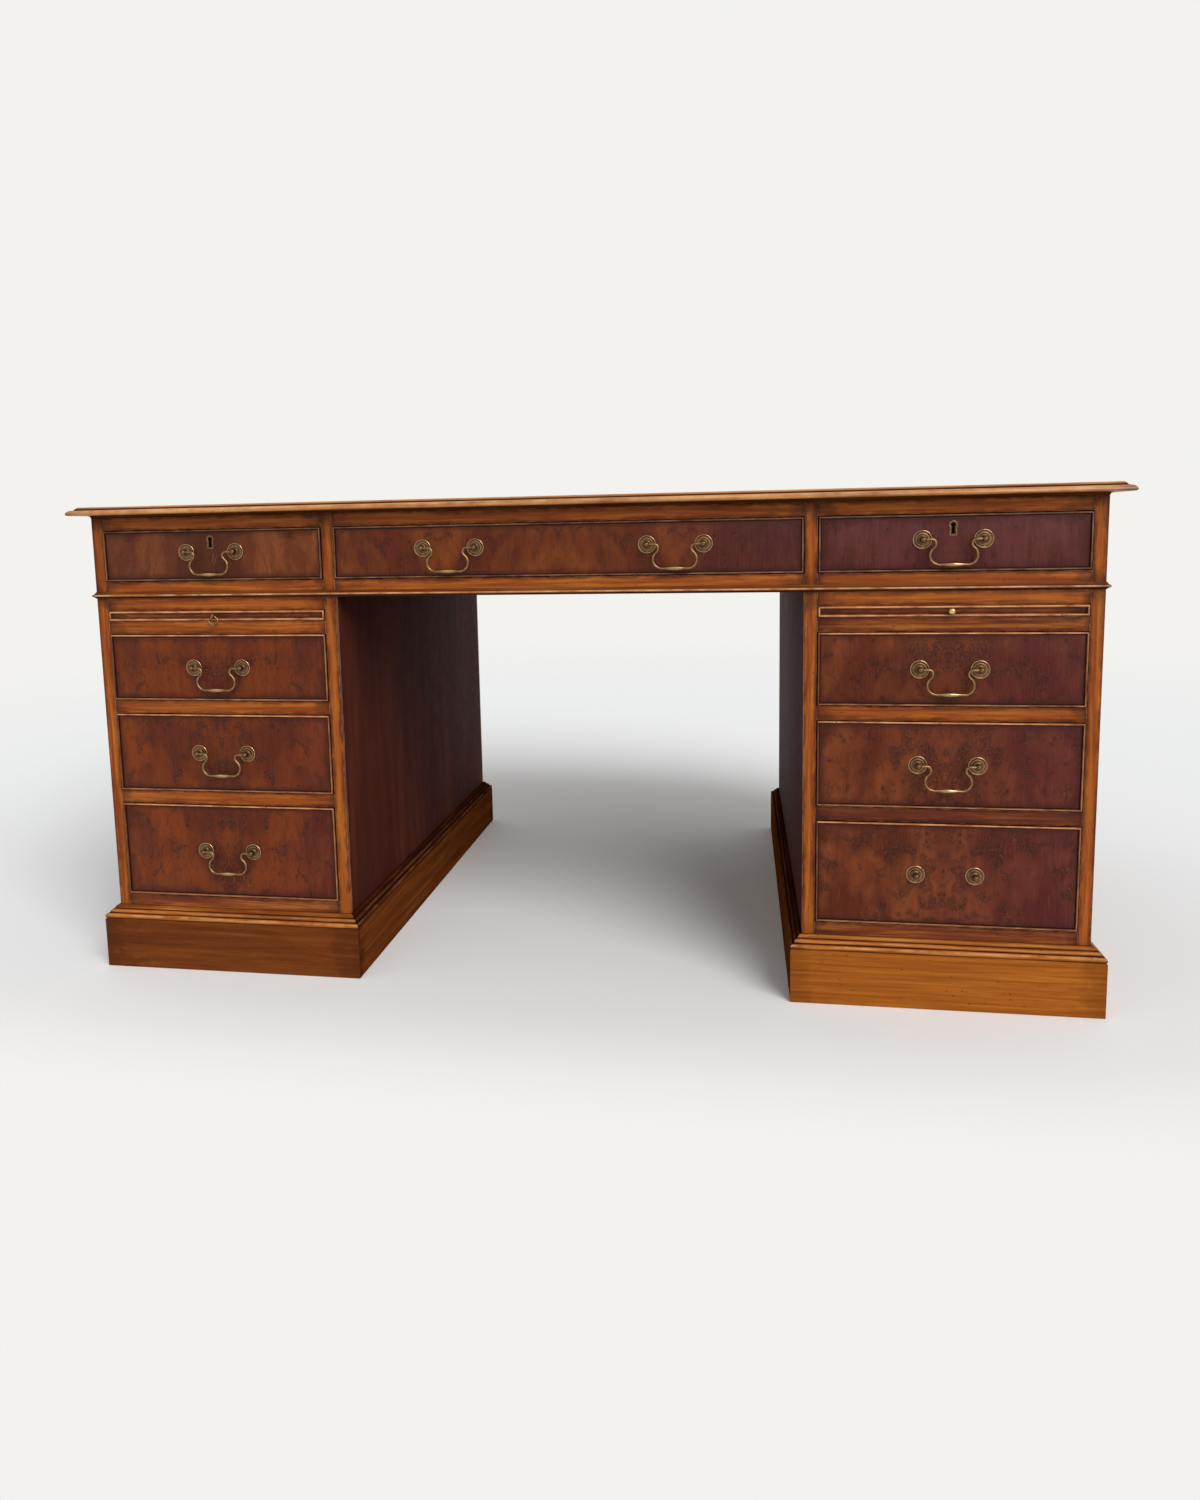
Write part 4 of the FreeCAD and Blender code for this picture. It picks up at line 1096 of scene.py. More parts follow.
@dataclass
class Handle:
    """Two turned roses with posts, and the swan-neck bail that swings between them."""

    span: float = 84.0
    reach: float = 9.5
    rose_radius: float = 13.6
    rim_radius: float = 1.0
    ball_radius: float = 4.6
    wire_radius: float = 1.85
    shoulder: float = 0.35
    shoulder_place: float = 9.0
    shoulder_width: float = 4.0
    grip_radius: float = 3.6
    grip_length: float = 11.0
    peg: float = 8.0
    hook_x: float = 24.5
    hook_radius: float = 5.5
    neck_radius: float = 9.0
    belly_radius: float = 13.4
    flare: float = 50.0

    def rose(self) -> Shell:
        """A rose and post that lie flat: rolled rim, dished field with two rings, boss, and round head.

        Returns:
            The rose, on the origin.
        """
        rim = arc((self.rose_radius - self.rim_radius, 0.9), self.rim_radius, -40, 130)
        field_and_boss = np.array([  # radius, height, recess
            (11.5, 1.4, 0.1), (10.8, 1.15, 0.3), (9.8, 1.1, 0.2), (9.1, 1.45, 0.0), (8.5, 1.6, -0.2),
            (7.8, 1.45, 0.0), (6.8, 1.1, 0.2), (5.6, 1.15, 0.3), (4.7, 1.7, 0.3), (3.9, 2.7, 0.4),
            (3.1, 3.7, 0.6), (2.6, 4.6, 0.9), (2.6, 5.3, 0.9)])
        head = arc((0.0, self.reach), self.ball_radius, -55, 90, 12)
        head[-1, 0] = 0.0
        foot = [(0.0, 0.0), (self.rose_radius - 0.6, 0.0)]
        # The rim's crown is paler as painted highlight, and the head darker towards its neck as painted
        # shade; the field's rings and the post hold patina.
        recess = [(0.0, 0.9), spread((0.3, -0.8, 0.0), len(rim)), field_and_boss[:, 2],
                  spread((0.8, 0.0), len(head))]
        return turned(np.concatenate([foot, rim, field_and_boss[:, :2], head]), ROSE_BRASS,
                      np.concatenate(recess))

    def roses(self, x: float, z: float, facing: int, face_y: float) -> list[Shell]:
        """Both roses of a handle, on a front."""
        flat = self.rose()
        return [flat.placed(STAND[facing], (x + side * self.span / 2, face_y, z)) for side in (-1, 1)]

    def centre_line(self) -> np.ndarray:
        """Half of the bail's path as (x, z) from the pivot: peg, hook, neck, belly and grip, each tangent.

        Returns:
            (n, 2) points, from one pivot to the middle.
        """
        neck_x = self.hook_x + self.neck_radius
        both = self.neck_radius + self.belly_radius
        belly = (neck_x - both * math.cos(math.radians(self.flare)),
                 -self.hook_radius - both * math.sin(math.radians(self.flare)))
        hook = arc((self.hook_x + self.hook_radius, -self.hook_radius), self.hook_radius, 90, 180, 9)
        neck = arc((neck_x, -self.hook_radius), self.neck_radius, 180, 180 + self.flare, 7)[1:]
        curve = arc(belly, self.belly_radius, self.flare, -90, 16)[1:]
        end = self.span / 2
        peg = [(end, 0.0), (end - self.peg / 2, 0.0), (end - self.peg, 0.0)]
        grip = np.stack([np.linspace(belly[0], 0, 12)[1:], np.full(11, belly[1] - self.belly_radius)], -1)
        return np.concatenate([peg, hook, neck, curve, grip])

    def bail(self, x: float, z: float, facing: int, face_y: float) -> Shell:
        """The bail as it hangs: a rod along the path that swells to the grip and to its hooks' shoulders.

        The swelling is a bell curve over x about the grip's middle, and one about each shoulder.

        Args:
            x, z: the middle between its pivots.
            facing: -1 towards the drawer side, 1 towards the cupboard side.
            face_y: where the veneer's face lies.

        Returns:
            The bail, in place.
        """
        half = self.centre_line()
        path = np.concatenate([half, half[-2::-1] * (-1, 1)])
        across, height = path.T
        grip = np.exp(-(across / self.grip_length) ** 2) * (height < -self.hook_radius)
        from_shoulder = (np.abs(across) - self.span / 2 + self.shoulder_place) / self.shoulder_width
        hook = np.exp(-from_shoulder ** 2) * (height > -2.0)
        radius = self.wire_radius + (self.grip_radius - self.wire_radius) * grip + self.shoulder * hook
        points = np.stack([across, np.zeros(len(path)), height], -1)
        # The bail is paler on its upper front, most at the grip, from fingers and as painted highlight, and
        # darker behind and below as painted shade.
        shell = wire(points, radius, (0, 1, 0), BRASS, rubbed=(0.0, 0.55 * facing, 0.83),
                     worn_and_highlight=0.1 + 0.6 * grip)
        return shell.moved(x, face_y + facing * self.reach, z)


@dataclass
class Lock:
    """A keyhole with a raised brass rim round a black plug, painted shadow for its hole, and the lock case
    behind the front.
    """

    width: float = 12.0
    height: float = 21.5
    foot: float = 11.0
    neck: float = 9.6
    rim: float = 3.1
    thickness: float = 0.9
    case: Triple = (50.0, 36.0, 9.0)

    def outline(self, offset: float, height: float) -> np.ndarray:
        """The keyhole drawn in by an offset, as points at a height, anticlockwise from its right foot.

        Args:
            offset: how far it is drawn in.
            height: above the veneer's face.

        Returns:
            (n, 3) points.
        """
        radius = self.width / 2 - offset
        drop = self.height - self.width / 2
        meet = math.degrees(math.asin(min(0.95, (self.neck / 2 - offset) / radius)))
        head = arc((0, 0), radius, meet - 90, 270 - meet, 26)
        foot = [(-(self.foot / 2 - offset), offset - drop), (self.foot / 2 - offset, offset - drop)]
        loop = np.concatenate([foot, head]) + (0, drop / 2 - self.width / 4)
        return np.column_stack([loop, np.full(len(loop), height)])

    def plate(self) -> list[Shell]:
        """The plate, lying flat, and the black plug in its hole, which paints the hole's shadow.

        Its rows run up the outside, over a rounded rim, down to a step and to the hole's edge.

        Returns:
            The rim and the floor.
        """
        rows = [(0.0, 0.0, 0.6), (0.0, 0.75, 0.1), (0.2, 1.0, 0.0), (0.45, 0.85, 0.1), (0.6, 0.5, 0.7),
                (1.0, 0.4, 0.75), (1.0, 0.0, 1.0)]  # share of the rim, of the thickness, and recess
        points = np.concatenate([self.outline(inward * self.rim, lift * self.thickness)
                                 for inward, lift, _ in rows])
        count = len(points) // len(rows)
        faces = grid_faces(len(rows), count, True, True).tolist()
        rim = Shell(points, faces, points.copy(), BRASS, recess=np.repeat([row[2] for row in rows], count))
        floor = np.concatenate([self.outline(self.rim, -0.5), self.outline(self.rim, 0.12)])
        return [rim, Shell(floor, tube_faces(2, count), floor.copy(), KEYHOLE)]

    def fitted(self, x: float, face_y: float, plate_z: float, back_y: float, case_z: float,
               facing: int) -> list[Shell]:
        """The plate on a front's face, and the case on its back.

        Args:
            x: middle of the lock.
            face_y, back_y: the front's two faces.
            plate_z, case_z: middle height of the plate and of the case.
            facing: -1 towards the drawer side, 1 towards the cupboard side.

        Returns:
            Plate, floor and case.
        """
        width, height, depth = self.case
        low_y, high_y = sorted((back_y, back_y - facing * depth))
        shells = [shell.placed(STAND[facing], (x, face_y, plate_z)) for shell in self.plate()]
        return shells + [board((x - width / 2, low_y, case_z - height / 2),
                               (x + width / 2, high_y, case_z + height / 2), BRASS, Grain.X)]


@dataclass
class Fronts:
    """Veneered fronts with cock beads, for drawers, dummies and doors."""

    bead_width: float = 3.0
    bead_projection: float = 2.5
    bead_foot: float = 0.4

    def bead(self, thickness: float) -> Section:
        """Section of a cock bead: a flat tongue with a half-round nose, with painted shade and soiling at the
        veneer.

        Args:
            thickness: of the board that it edges.

        Returns:
            The section.
        """
        nose = self.bead_width / 2
        side = [(0.0, -thickness), (0.0, -0.4 * thickness), (0.0, -0.1 * thickness), (0.0, self.bead_foot)]
        return Section.of((side, (0.45, 0.55, 1.0, 1.0)),
                          (arc((nose, self.bead_projection - nose), nose, 180, 0, 10), FOOT_SHADE_CROWN_HIGHLIGHT),
                          ([(self.bead_width, self.bead_foot), (self.bead_width, -thickness)], 1.0))

    def face(self, box: Box, facing: int) -> float:
        """Where the veneer's face lies, behind the beads' crowns."""
        crowns = box.low[1] if facing < 0 else box.high[1]
        return crowns - facing * self.bead_projection

    def front(self, box: Box, facing: int, veneer: Finish, bead: Finish, seed: int) -> list[Shell]:
        """The veneered board and its four beads, in the box of their node.

        Args:
            box: the node's box.
            facing: -1 towards the drawer side, 1 towards the cupboard side.
            veneer, bead: what they wear.
            seed: of the beads' knocks.

        Returns:
            The board, then its beads.
        """
        width, depth, height = box.size()
        thickness = depth - self.bead_projection
        half_w = width / 2 - self.bead_width
        half_h = height / 2 - self.bead_width
        sheet = board((-half_w, -half_h, -thickness), (half_w, half_h, 0), veneer, Grain.Y, 0.3)
        beads = mitred_frame(self.bead(thickness), width, height, bead, 3.0, Nicks(seed=seed),
                             BEAD_SIDES_PAINTED_SHADE if bead is PALE_BEAD else None)
        x, _, z = box.middle()
        return [shell.placed(STAND[facing], (x, self.face(box, facing), z)) for shell in [sheet] + beads]


# Handles on the frieze hang this far above the middle of their fronts, and the middle front has a pair, this
# far either side.
FRIEZE_HANDLE_RISE = 5.0
PAIR_OFFSET = 174.0


@dataclass
class Drawer:
    """One drawer: beaded front, lined box, roses and bails.

    scratches are in the front's face, each its place across and up from the middle, its length, and its
    lean from upright in degrees.
    """

    name: str
    handle_rise: float = 0.0
    handle_offsets: tuple[float, ...] = (0.0,)
    bails: tuple[str, ...] = ("_bail",)
    locked: bool = False
    veneer: Finish = LEFT_VENEER
    bead: Finish = PALE_BEAD
    scratches: tuple[tuple[float, ...], ...] = ()
    seed: int = 1
    side_t: float = 10.0
    bottom_t: float = 6.0
    bottom_lift: float = 9.0
    back_drop: float = 5.0
    plate_drop: float = 20.0
    case_drop: float = 24.0
    score_width: float = 0.5
    score_sunk: float = 0.1
    score_proud: float = 0.04

    def pieces(self) -> list[Piece]:
        """Every piece of the drawer.

        Returns:
            Front, box, roses and bails.
        """
        box = Box.of(self.name + "_front")
        fronts, handle = Fronts(), Handle()
        face_y = fronts.face(box, -1)
        x, _, z = box.middle()
        veneered = fronts.front(box, -1, self.veneer, self.bead, self.seed)
        veneered += [score.placed(STAND[-1], (x, face_y, z)) for score in self.scores()]
        brass = []
        for offset in self.handle_offsets:
            brass += handle.roses(x + offset, z + self.handle_rise, -1, face_y)
        if self.locked:
            top = box.high[2]
            brass += Lock().fitted(x, face_y, top - self.plate_drop, box.high[1], top - self.case_drop, -1)
        made = [Piece(self.name + "_veneered_front", self.name + "_front", "yew_veneer", veneered),
                Piece(self.name + "_lined_box", self.name + "_box", "lining_wood", self.box()),
                Piece(self.name + "_roses", self.name + "_brassware", "antique_brass", brass)]
        for bail, offset in zip(self.bails, self.handle_offsets):
            made.append(Piece(self.name + bail + "_swan_neck", self.name + bail, "antique_brass",
                              [handle.bail(x + offset, z + self.handle_rise, -1, face_y)]))
        return made

    def scores(self) -> list[Shell]:
        """The scratches, lying flat: each a sliver of bare wood.

        Returns:
            One shell for each.
        """
        made = []
        for across, up, length, lean in self.scratches:
            sliver = board((-self.score_width / 2, -length / 2, -self.score_sunk),
                           (self.score_width / 2, length / 2, self.score_proud), SCORED, Grain.Y, 0.1)
            cos, sin = math.cos(math.radians(lean)), math.sin(math.radians(lean))
            turn = np.array([[cos, sin, 0.0], [-sin, cos, 0], [0, 0, 1]])
            made.append(sliver.placed(turn, (across, up, 0)))
        return made

    def box(self) -> list[Shell]:
        """Sides, bottom and back, grain along each board's length.

        Returns:
            The four boards.
        """
        box = Box.of(self.name + "_box")
        (x0, y0, z0), (x1, y1, z1) = box.low, box.high
        side, lift = self.side_t, z0 + self.bottom_lift
        floor = lift + self.bottom_t
        return [board((x0, y0, z0), (x0 + side, y1, z1), LINING, Grain.Y),
                board((x1 - side, y0, z0), (x1, y1, z1), LINING, Grain.Y),
                board((x0 + side, y0, lift), (x1 - side, y1, floor), LINING, Grain.X, 0.2),
                board((x0 + side, y1 - side, floor), (x1 - side, y1, z1 - self.back_drop), LINING, Grain.X)]


@dataclass
class BrushingSlide:
    """A pull-out slide: board, and a lipping with a bead round a sunk strip."""

    side: str
    lipping: float = 22.0
    bead: float = 3.6
    sunk: float = 1.5
    tongue: float = 8.0

    def pieces(self) -> list[Piece]:
        """The slide, with its board, lipping and beads.

        Returns:
            The slide, as one piece.
        """
        node = self.side + "_brushing_slide"
        box = Box.of(node)
        (x0, y0, z0), (x1, y1, z1) = box.low, box.high
        nose = self.bead / 2
        face, lipped = y0 + nose, y0 + self.lipping
        width, _, height = box.size()
        # The bead's feet are darker, as soiling and painted shade, and its crown paler, as wear and painted
        # highlight.
        frame = Section.of(([(0.0, -self.tongue), (0.0, -0.3)], 0.9),
                           (arc((nose, 0.0), nose, 180, 0, 10), FOOT_SHADE_CROWN_HIGHLIGHT),
                           ([(self.bead, -self.sunk), (self.bead, -self.tongue)], 1.0))
        shells = [shell.placed(STAND[-1], ((x0 + x1) / 2, face, (z0 + z1) / 2))
                  for shell in mitred_frame(frame, width, height, PALE_BEAD, 3.0, Nicks(seed=5, depth=0.5))]
        shells += [board((x0 + self.bead, face + self.sunk, z0 + self.bead),
                         (x1 - self.bead, face + self.tongue, z1 - self.bead), BROWN_FRAMING, Grain.X, 0.2),
                   board((x0, face + self.tongue, z0), (x1, lipped, z1), FRAMING, Grain.X, 0.3),
                   board((x0, lipped, z0), (x1, y1, z1), BANDING, Grain.X, 0.5)]
        return [Piece(node + "_board", node, "yew_frame", shells)]


@dataclass
class SlideKnob:
    """A small turned brass knob: neck, collar and ball."""

    radius: float = 5.4
    reach: float = 12.2

    def pieces(self) -> list[Piece]:
        """The knob, on its slide's sunk strip.

        Returns:
            The knob, as one piece.
        """
        box = Box.of("right_slide_knob")
        neck = [(0.0, 0.0), (4.2, 0.0), (4.2, 0.6), (3.0, 1.0), (2.4, 1.8)]
        ball = arc((0.0, self.reach - self.radius), self.radius, -58, 90, 14)
        ball[-1, 0] = 0.0
        recess = np.concatenate([[0.8, 0.8, 0.5, 0.8, 0.8], np.zeros(len(ball))])
        x, _, z = box.middle()
        knob = turned(np.concatenate([neck, ball]), POLISHED_BRASS, recess)
        return [Piece("right_slide_turned_knob", "right_slide_knob", "antique_brass",
                      [knob.placed(STAND[-1], (x, box.high[1], z))])]


@dataclass
class SlideLoop:
    """The screw eye left in the other slide, and the bent loop of wire that hangs in it."""

    wire_radius: float = 1.3
    eye_radius: float = 3.1
    loop_radius: float = 7.8
    shank: float = 4.0
    clearance: float = 0.3
    steps: int = 40

    def pieces(self) -> list[Piece]:
        """Screw eye, shank and the bent loop: a rounded square that hangs from a corner.

        The loop's radius is 0.9 + 0.1 cos 4a + 0.05 sin 2a of its own, and it is bent out of its plane by
        0.5 sin 2a mm.

        Returns:
            All three, as one piece.
        """
        box = Box.of("left_slide_pull")
        x = box.middle()[0]
        z = box.high[2] - self.eye_radius - self.wire_radius
        eye_y = box.high[1] - self.shank - self.eye_radius
        turn = np.linspace(0, 2 * np.pi, self.steps, endpoint=False)
        eye = np.stack([np.full(self.steps, x), eye_y + self.eye_radius * np.cos(turn),
                        z + self.eye_radius * np.sin(turn)], -1)
        radius = self.loop_radius * (0.9 + 0.1 * np.cos(4 * turn) + 0.05 * np.sin(2 * turn))
        loop_z = z - self.loop_radius + self.eye_radius - 2 * self.wire_radius - self.clearance
        loop = np.stack([x + radius * np.sin(turn), eye_y + 0.5 * np.sin(2 * turn),
                         loop_z + radius * np.cos(turn)], -1)
        shank = np.linspace((x, box.high[1], z), (x, eye_y + self.eye_radius, z), 6)
        # The wires are paler above and darker below, as painted highlight and painted shade.
        shells = [wire(path, np.full(len(path), self.wire_radius), across, BRASS, closed)
                  for path, across, closed in ((eye, (1, 0, 0), True), (loop, (0, 1, 0), True),
                                               (shank, (0, 0, 1), False))]
        return [Piece("left_slide_eye_and_loop", "left_slide_pull", "antique_brass", shells)]


@dataclass(kw_only=True)
class Joinery:
    """Sizes and boards that the frieze and the pedestals share."""

    panel_t: float = 19.0
    lipping: float = 8.0
    rail_depth: float = 45.0
    runner: float = 20.0
    front_t: float = 18.0
    front_gap: float = 1.0
    run_gap: float = 0.3
    stop: Triple = (30.0, 20.0, 4.0)
    stop_inset: float = 60.0

    def upright(self, x: float, box: Box, wood: Finish, grain: Grain) -> list[Shell]:
        """A side or divider, and its solid lippings front and back.

        Args:
            x: its left face.
            box: gives its depth and height.
            wood, grain: of the board between the lippings.

        Returns:
            The board and both lippings.
        """
        (_, y0, z0), (_, y1, z1) = box.low, box.high
        end, lip = x + self.panel_t, self.lipping
        return [board((x, y0 + lip, z0), (end, y1 - lip, z1), wood, grain, 0.1),
                board((x, y0, z0), (end, y0 + lip, z1), FRAMING, Grain.Z, 0.8),
                board((x, y1 - lip, z0), (end, y1, z1), FRAMING, Grain.Z, 0.8)]

    def stops(self, x0: float, x1: float, y0: float, floor: float) -> list[Shell]:
        """Two drawer stops on the rail of an opening between two sides.

        Args:
            x0, x1: the opening's sides.
            y0: its front.
            floor: the rail's top.

        Returns:
            Both stops.
        """
        length, width, thickness = self.stop
        start = y0 + self.front_t + self.run_gap
        return [board((middle - length / 2, start, floor),
                      (middle + length / 2, start + width, floor + thickness), LINING, Grain.X)
                for middle in (x0 + self.stop_inset, x1 - self.stop_inset)]


@dataclass
class Pedestal(Joinery):
    """One pedestal: sides, rails, inside, and the moulded plinth."""

    side: str
    plinth_finish: Finish
    rail_finishes: tuple[Finish, ...] = (BROWN_FRAMING, FRAMING, FRAMING, FRAMING, FRAMING)
    partition_y: float = 21.5
    partition_t: float = 15.0
    shelf_t: float = 16.0
    shelf_height: float = 235.0
    shelf_setback: float = 50.0
    plinth_t: float = 18.0
    plinth_height: float = 84.0
    plinth_ease: float = 2.5
    skirt_gap: float = 0.7
    inner_floor: float = 103.0

    def levels(self) -> list[Pair]:
        """Bottom and top of each front rail, from the openings between them.

        Returns:
            (bottom, top) of each, from the lowest up.
        """
        lower, centre, upper = (Box.of(f"{self.side}_{level}_drawer_front")
                                for level in ("lower", "centre", "upper"))
        slide = Box.of(self.side + "_brushing_slide")
        gap, top = self.front_gap, Box.of(self.side + "_pedestal_carcass").high[2]
        return [(self.plinth_height, lower.low[2] - gap), (lower.high[2] + gap, centre.low[2] - gap),
                (centre.high[2] + gap, upper.low[2] - gap),
                (upper.high[2] + gap, slide.low[2] - self.run_gap), (slide.high[2] + self.run_gap, top)]

    def carcass(self) -> Piece:
        """Sides with solid lippings front and back, rails, runners, partition, shelf and floor.

        Returns:
            The carcass, as one piece.
        """
        box = Box.of(self.side + "_pedestal_carcass")
        (x0, y0, _), (x1, y1, z1) = box.low, box.high
        in0, in1 = x0 + self.panel_t, x1 - self.panel_t
        back, front = y1 - self.rail_depth, y0 + self.rail_depth
        levels = self.levels()
        floor, door_top = levels[0][1], levels[-1][0]
        shells = self.upright(x0, box, SIDE_VENEER, Grain.Z) + self.upright(in1, box, SIDE_VENEER, Grain.Z)
        for wood, (low, high) in zip(self.rail_finishes, levels):
            shells.append(board((in0, y0, low), (in1, front, high), wood, Grain.X, 0.6))
        for low, high in (levels[0], levels[-1]):
            shells.append(board((in0, back, low), (in1, y1, high), FRAMING, Grain.X, 0.6))
        for low, high in ((self.inner_floor, floor), (door_top, z1)):
            shells.append(board((in0, front, low), (in1, back, high), LINING, Grain.X))
        for low, high in levels[1:4]:
            for a in (in0, in1 - self.runner):
                shells.append(board((a, front, low), (a + self.runner, self.partition_y, high), LINING,
                                    Grain.Y))
        for _, rail_top in levels[:3]:
            shells += self.stops(in0, in1, y0, rail_top)
        behind, shelf = self.partition_y + self.partition_t, floor + self.shelf_height
        shells += [board((in0, self.partition_y, floor), (in1, behind, door_top), LINING, Grain.Z),
                   board((in0, behind, shelf), (in1, y1 - self.shelf_setback, shelf + self.shelf_t), LINING,
                         Grain.X)]
        return Piece(self.side + "_pedestal_joinery", self.side + "_pedestal_carcass", "yew_frame", shells)

    def plinth(self) -> Piece:
        """Four mitred boards with eased tops, and the bead, quirk and ovolo moulding on them.

        Returns:
            The plinth, as one piece.
        """
        box = Box.of(self.side + "_plinth")
        width, depth, top = box.size()
        t, foot, ease = self.plinth_t, self.plinth_height, self.plinth_ease
        boards = Section.of(
            ([(t, 0.0), (1.2, 0.0)], 0.0), ([(0.2, 0.6), (0.0, 1.4)], 0.0),
            ([(0.0, 12.0), (0.0, foot - ease)], 0.0),
            (arc((ease, foot - ease), ease, 180, 90, 6)[1:], 0.15), ((t, foot), 0.8))
        skirt = foot + self.skirt_gap
        bead_foot, bead_end = (0.8, skirt), (4.5, skirt + 7.0)
        ovolo_foot, ovolo_end = (5.7, bead_end[1] + 0.6), (10.1, bead_end[1] + 5.8)
        round_foot, round_end = (11.3, ovolo_end[1] + 0.6), (15.6, top)
        # Recess darkens the quirks as soiling and painted shade, and lightens the bead's and ovolo's crowns
        # as wear and painted highlight.
        moulding = Section.of(
            ((t, skirt), 1.0), (bead_foot, 0.9),
            (bowed(bead_foot, bead_end, 2.4, 10)[:-1], (0.3, -0.2, -0.8, -0.8, 0.0)),
            ([bead_end, ovolo_foot], 0.95), (bowed(ovolo_foot, ovolo_end, 1.2, 8)[:-1], (0.1, -0.5, 0.1)),
            ([ovolo_end, round_foot], 0.9), (bowed(round_foot, round_end, 0.9, 6)[:-1], 0.15),
            (round_end, 0.4), ((t, top), 0.9))
        # The kneehole run wears the darker copies, as painted shade.
        inner = 1 if self.side == "left" else 3
        shells = mitred_frame(boards, width, depth, self.plinth_finish, odd={inner: KNEE_PLINTH_SHADED})
        shells += mitred_frame(moulding, width, depth, PLINTH_MOULDING, 6.0, odd={inner: KNEE_MOULDING_SHADED})
        x, y, _ = box.middle()
        return Piece(self.side + "_plinth_boards", self.side + "_plinth", "yew_moulding",
                     [shell.moved(x, y, 0) for shell in shells])

    def pieces(self) -> list[Piece]:
        """Both pieces of the pedestal itself."""
        return [self.carcass(), self.plinth()]


@dataclass
class Frieze(Joinery):
    """The frieze section: ends, dividers, rails, runners, stops and the waist moulding."""

    def frame(self) -> Piece:
        """Ends and dividers, and between them the rails, runners and stops of three openings.

        Returns:
            The frame, as one piece.
        """
        box = Box.of("frieze_frame")
        (x0, y0, z0), (x1, y1, z1) = box.low, box.high
        fronts = [Box.of(f"{place}_frieze_drawer_front") for place in ("left", "middle", "right")]
        low, high = fronts[0].low[2] - self.front_gap, fronts[0].high[2] + self.front_gap
        knee = fronts[1].high[0] + self.front_gap
        shells = []
        for x, wood in ((x0, SIDE_VENEER), (-knee - self.panel_t, LINING), (knee, LINING),
                        (x1 - self.panel_t, SIDE_VENEER)):
            shells += self.upright(x, box, wood, Grain.Y)
        ahead, behind = y0 + self.rail_depth, y1 - self.rail_depth
        for front in fronts:
            a, b = front.low[0] - self.front_gap, front.high[0] + self.front_gap
            for c, d in ((y0, ahead), (behind, y1)):
                shells.append(board((a, c, z0), (b, d, low), FRAMING, Grain.X, 0.6))
                shells.append(board((a, c, high), (b, d, z1), FRAMING, Grain.X, 0.6))
            for c in (a, b - self.runner):
                shells.append(board((c, ahead, z0), (c + self.runner, behind, low), LINING, Grain.Y))
            shells += self.stops(a, b, y0, low)
        return Piece("frieze_joinery", "frieze_frame", "yew_frame", shells)

    def waist(self) -> Piece:
        """Moulding round the foot of the frieze: a round nose between two coves.

        Returns:
            The moulding, as one piece.
        """
        box = Box.of("waist_moulding")
        length, depth, height = box.size()
        inset, lip = 5.3, 4.6
        nose_low, nose_high = (2.4, 2.3), (2.4, 7.1)
        # Recess darkens the coves as soiling and painted shade, and lightens the nose's crown as wear and
        # painted highlight.
        section = Section.of(
            ((inset, 0.0), 1.0), ((lip, 0.0), 0.6), (bowed((lip, 0.0), nose_low, -0.35, 4)[:-1], 0.85),
            (nose_low, 0.95),
            (bowed(nose_low, nose_high, 2.4, 10)[:-1], (0.6, 0.0, -0.6, -1.0, -1.0, -0.4, 0.3)),
            (nose_high, 0.8), (bowed(nose_high, (lip, height), -0.35, 4)[:-1], 0.5),
            ((lip, height), 0.5), ((inset, height), 1.0))
        shells = mitred_frame(section, length, depth, WAIST_MOULDING, 6.0)
        return Piece("waist_moulded_band", "waist_moulding", "yew_moulding",
                     [shell.moved(0, 0, box.low[2]) for shell in shells])

    def pieces(self) -> list[Piece]:
        """The frame and its moulding."""
        return [self.frame(), self.waist()]


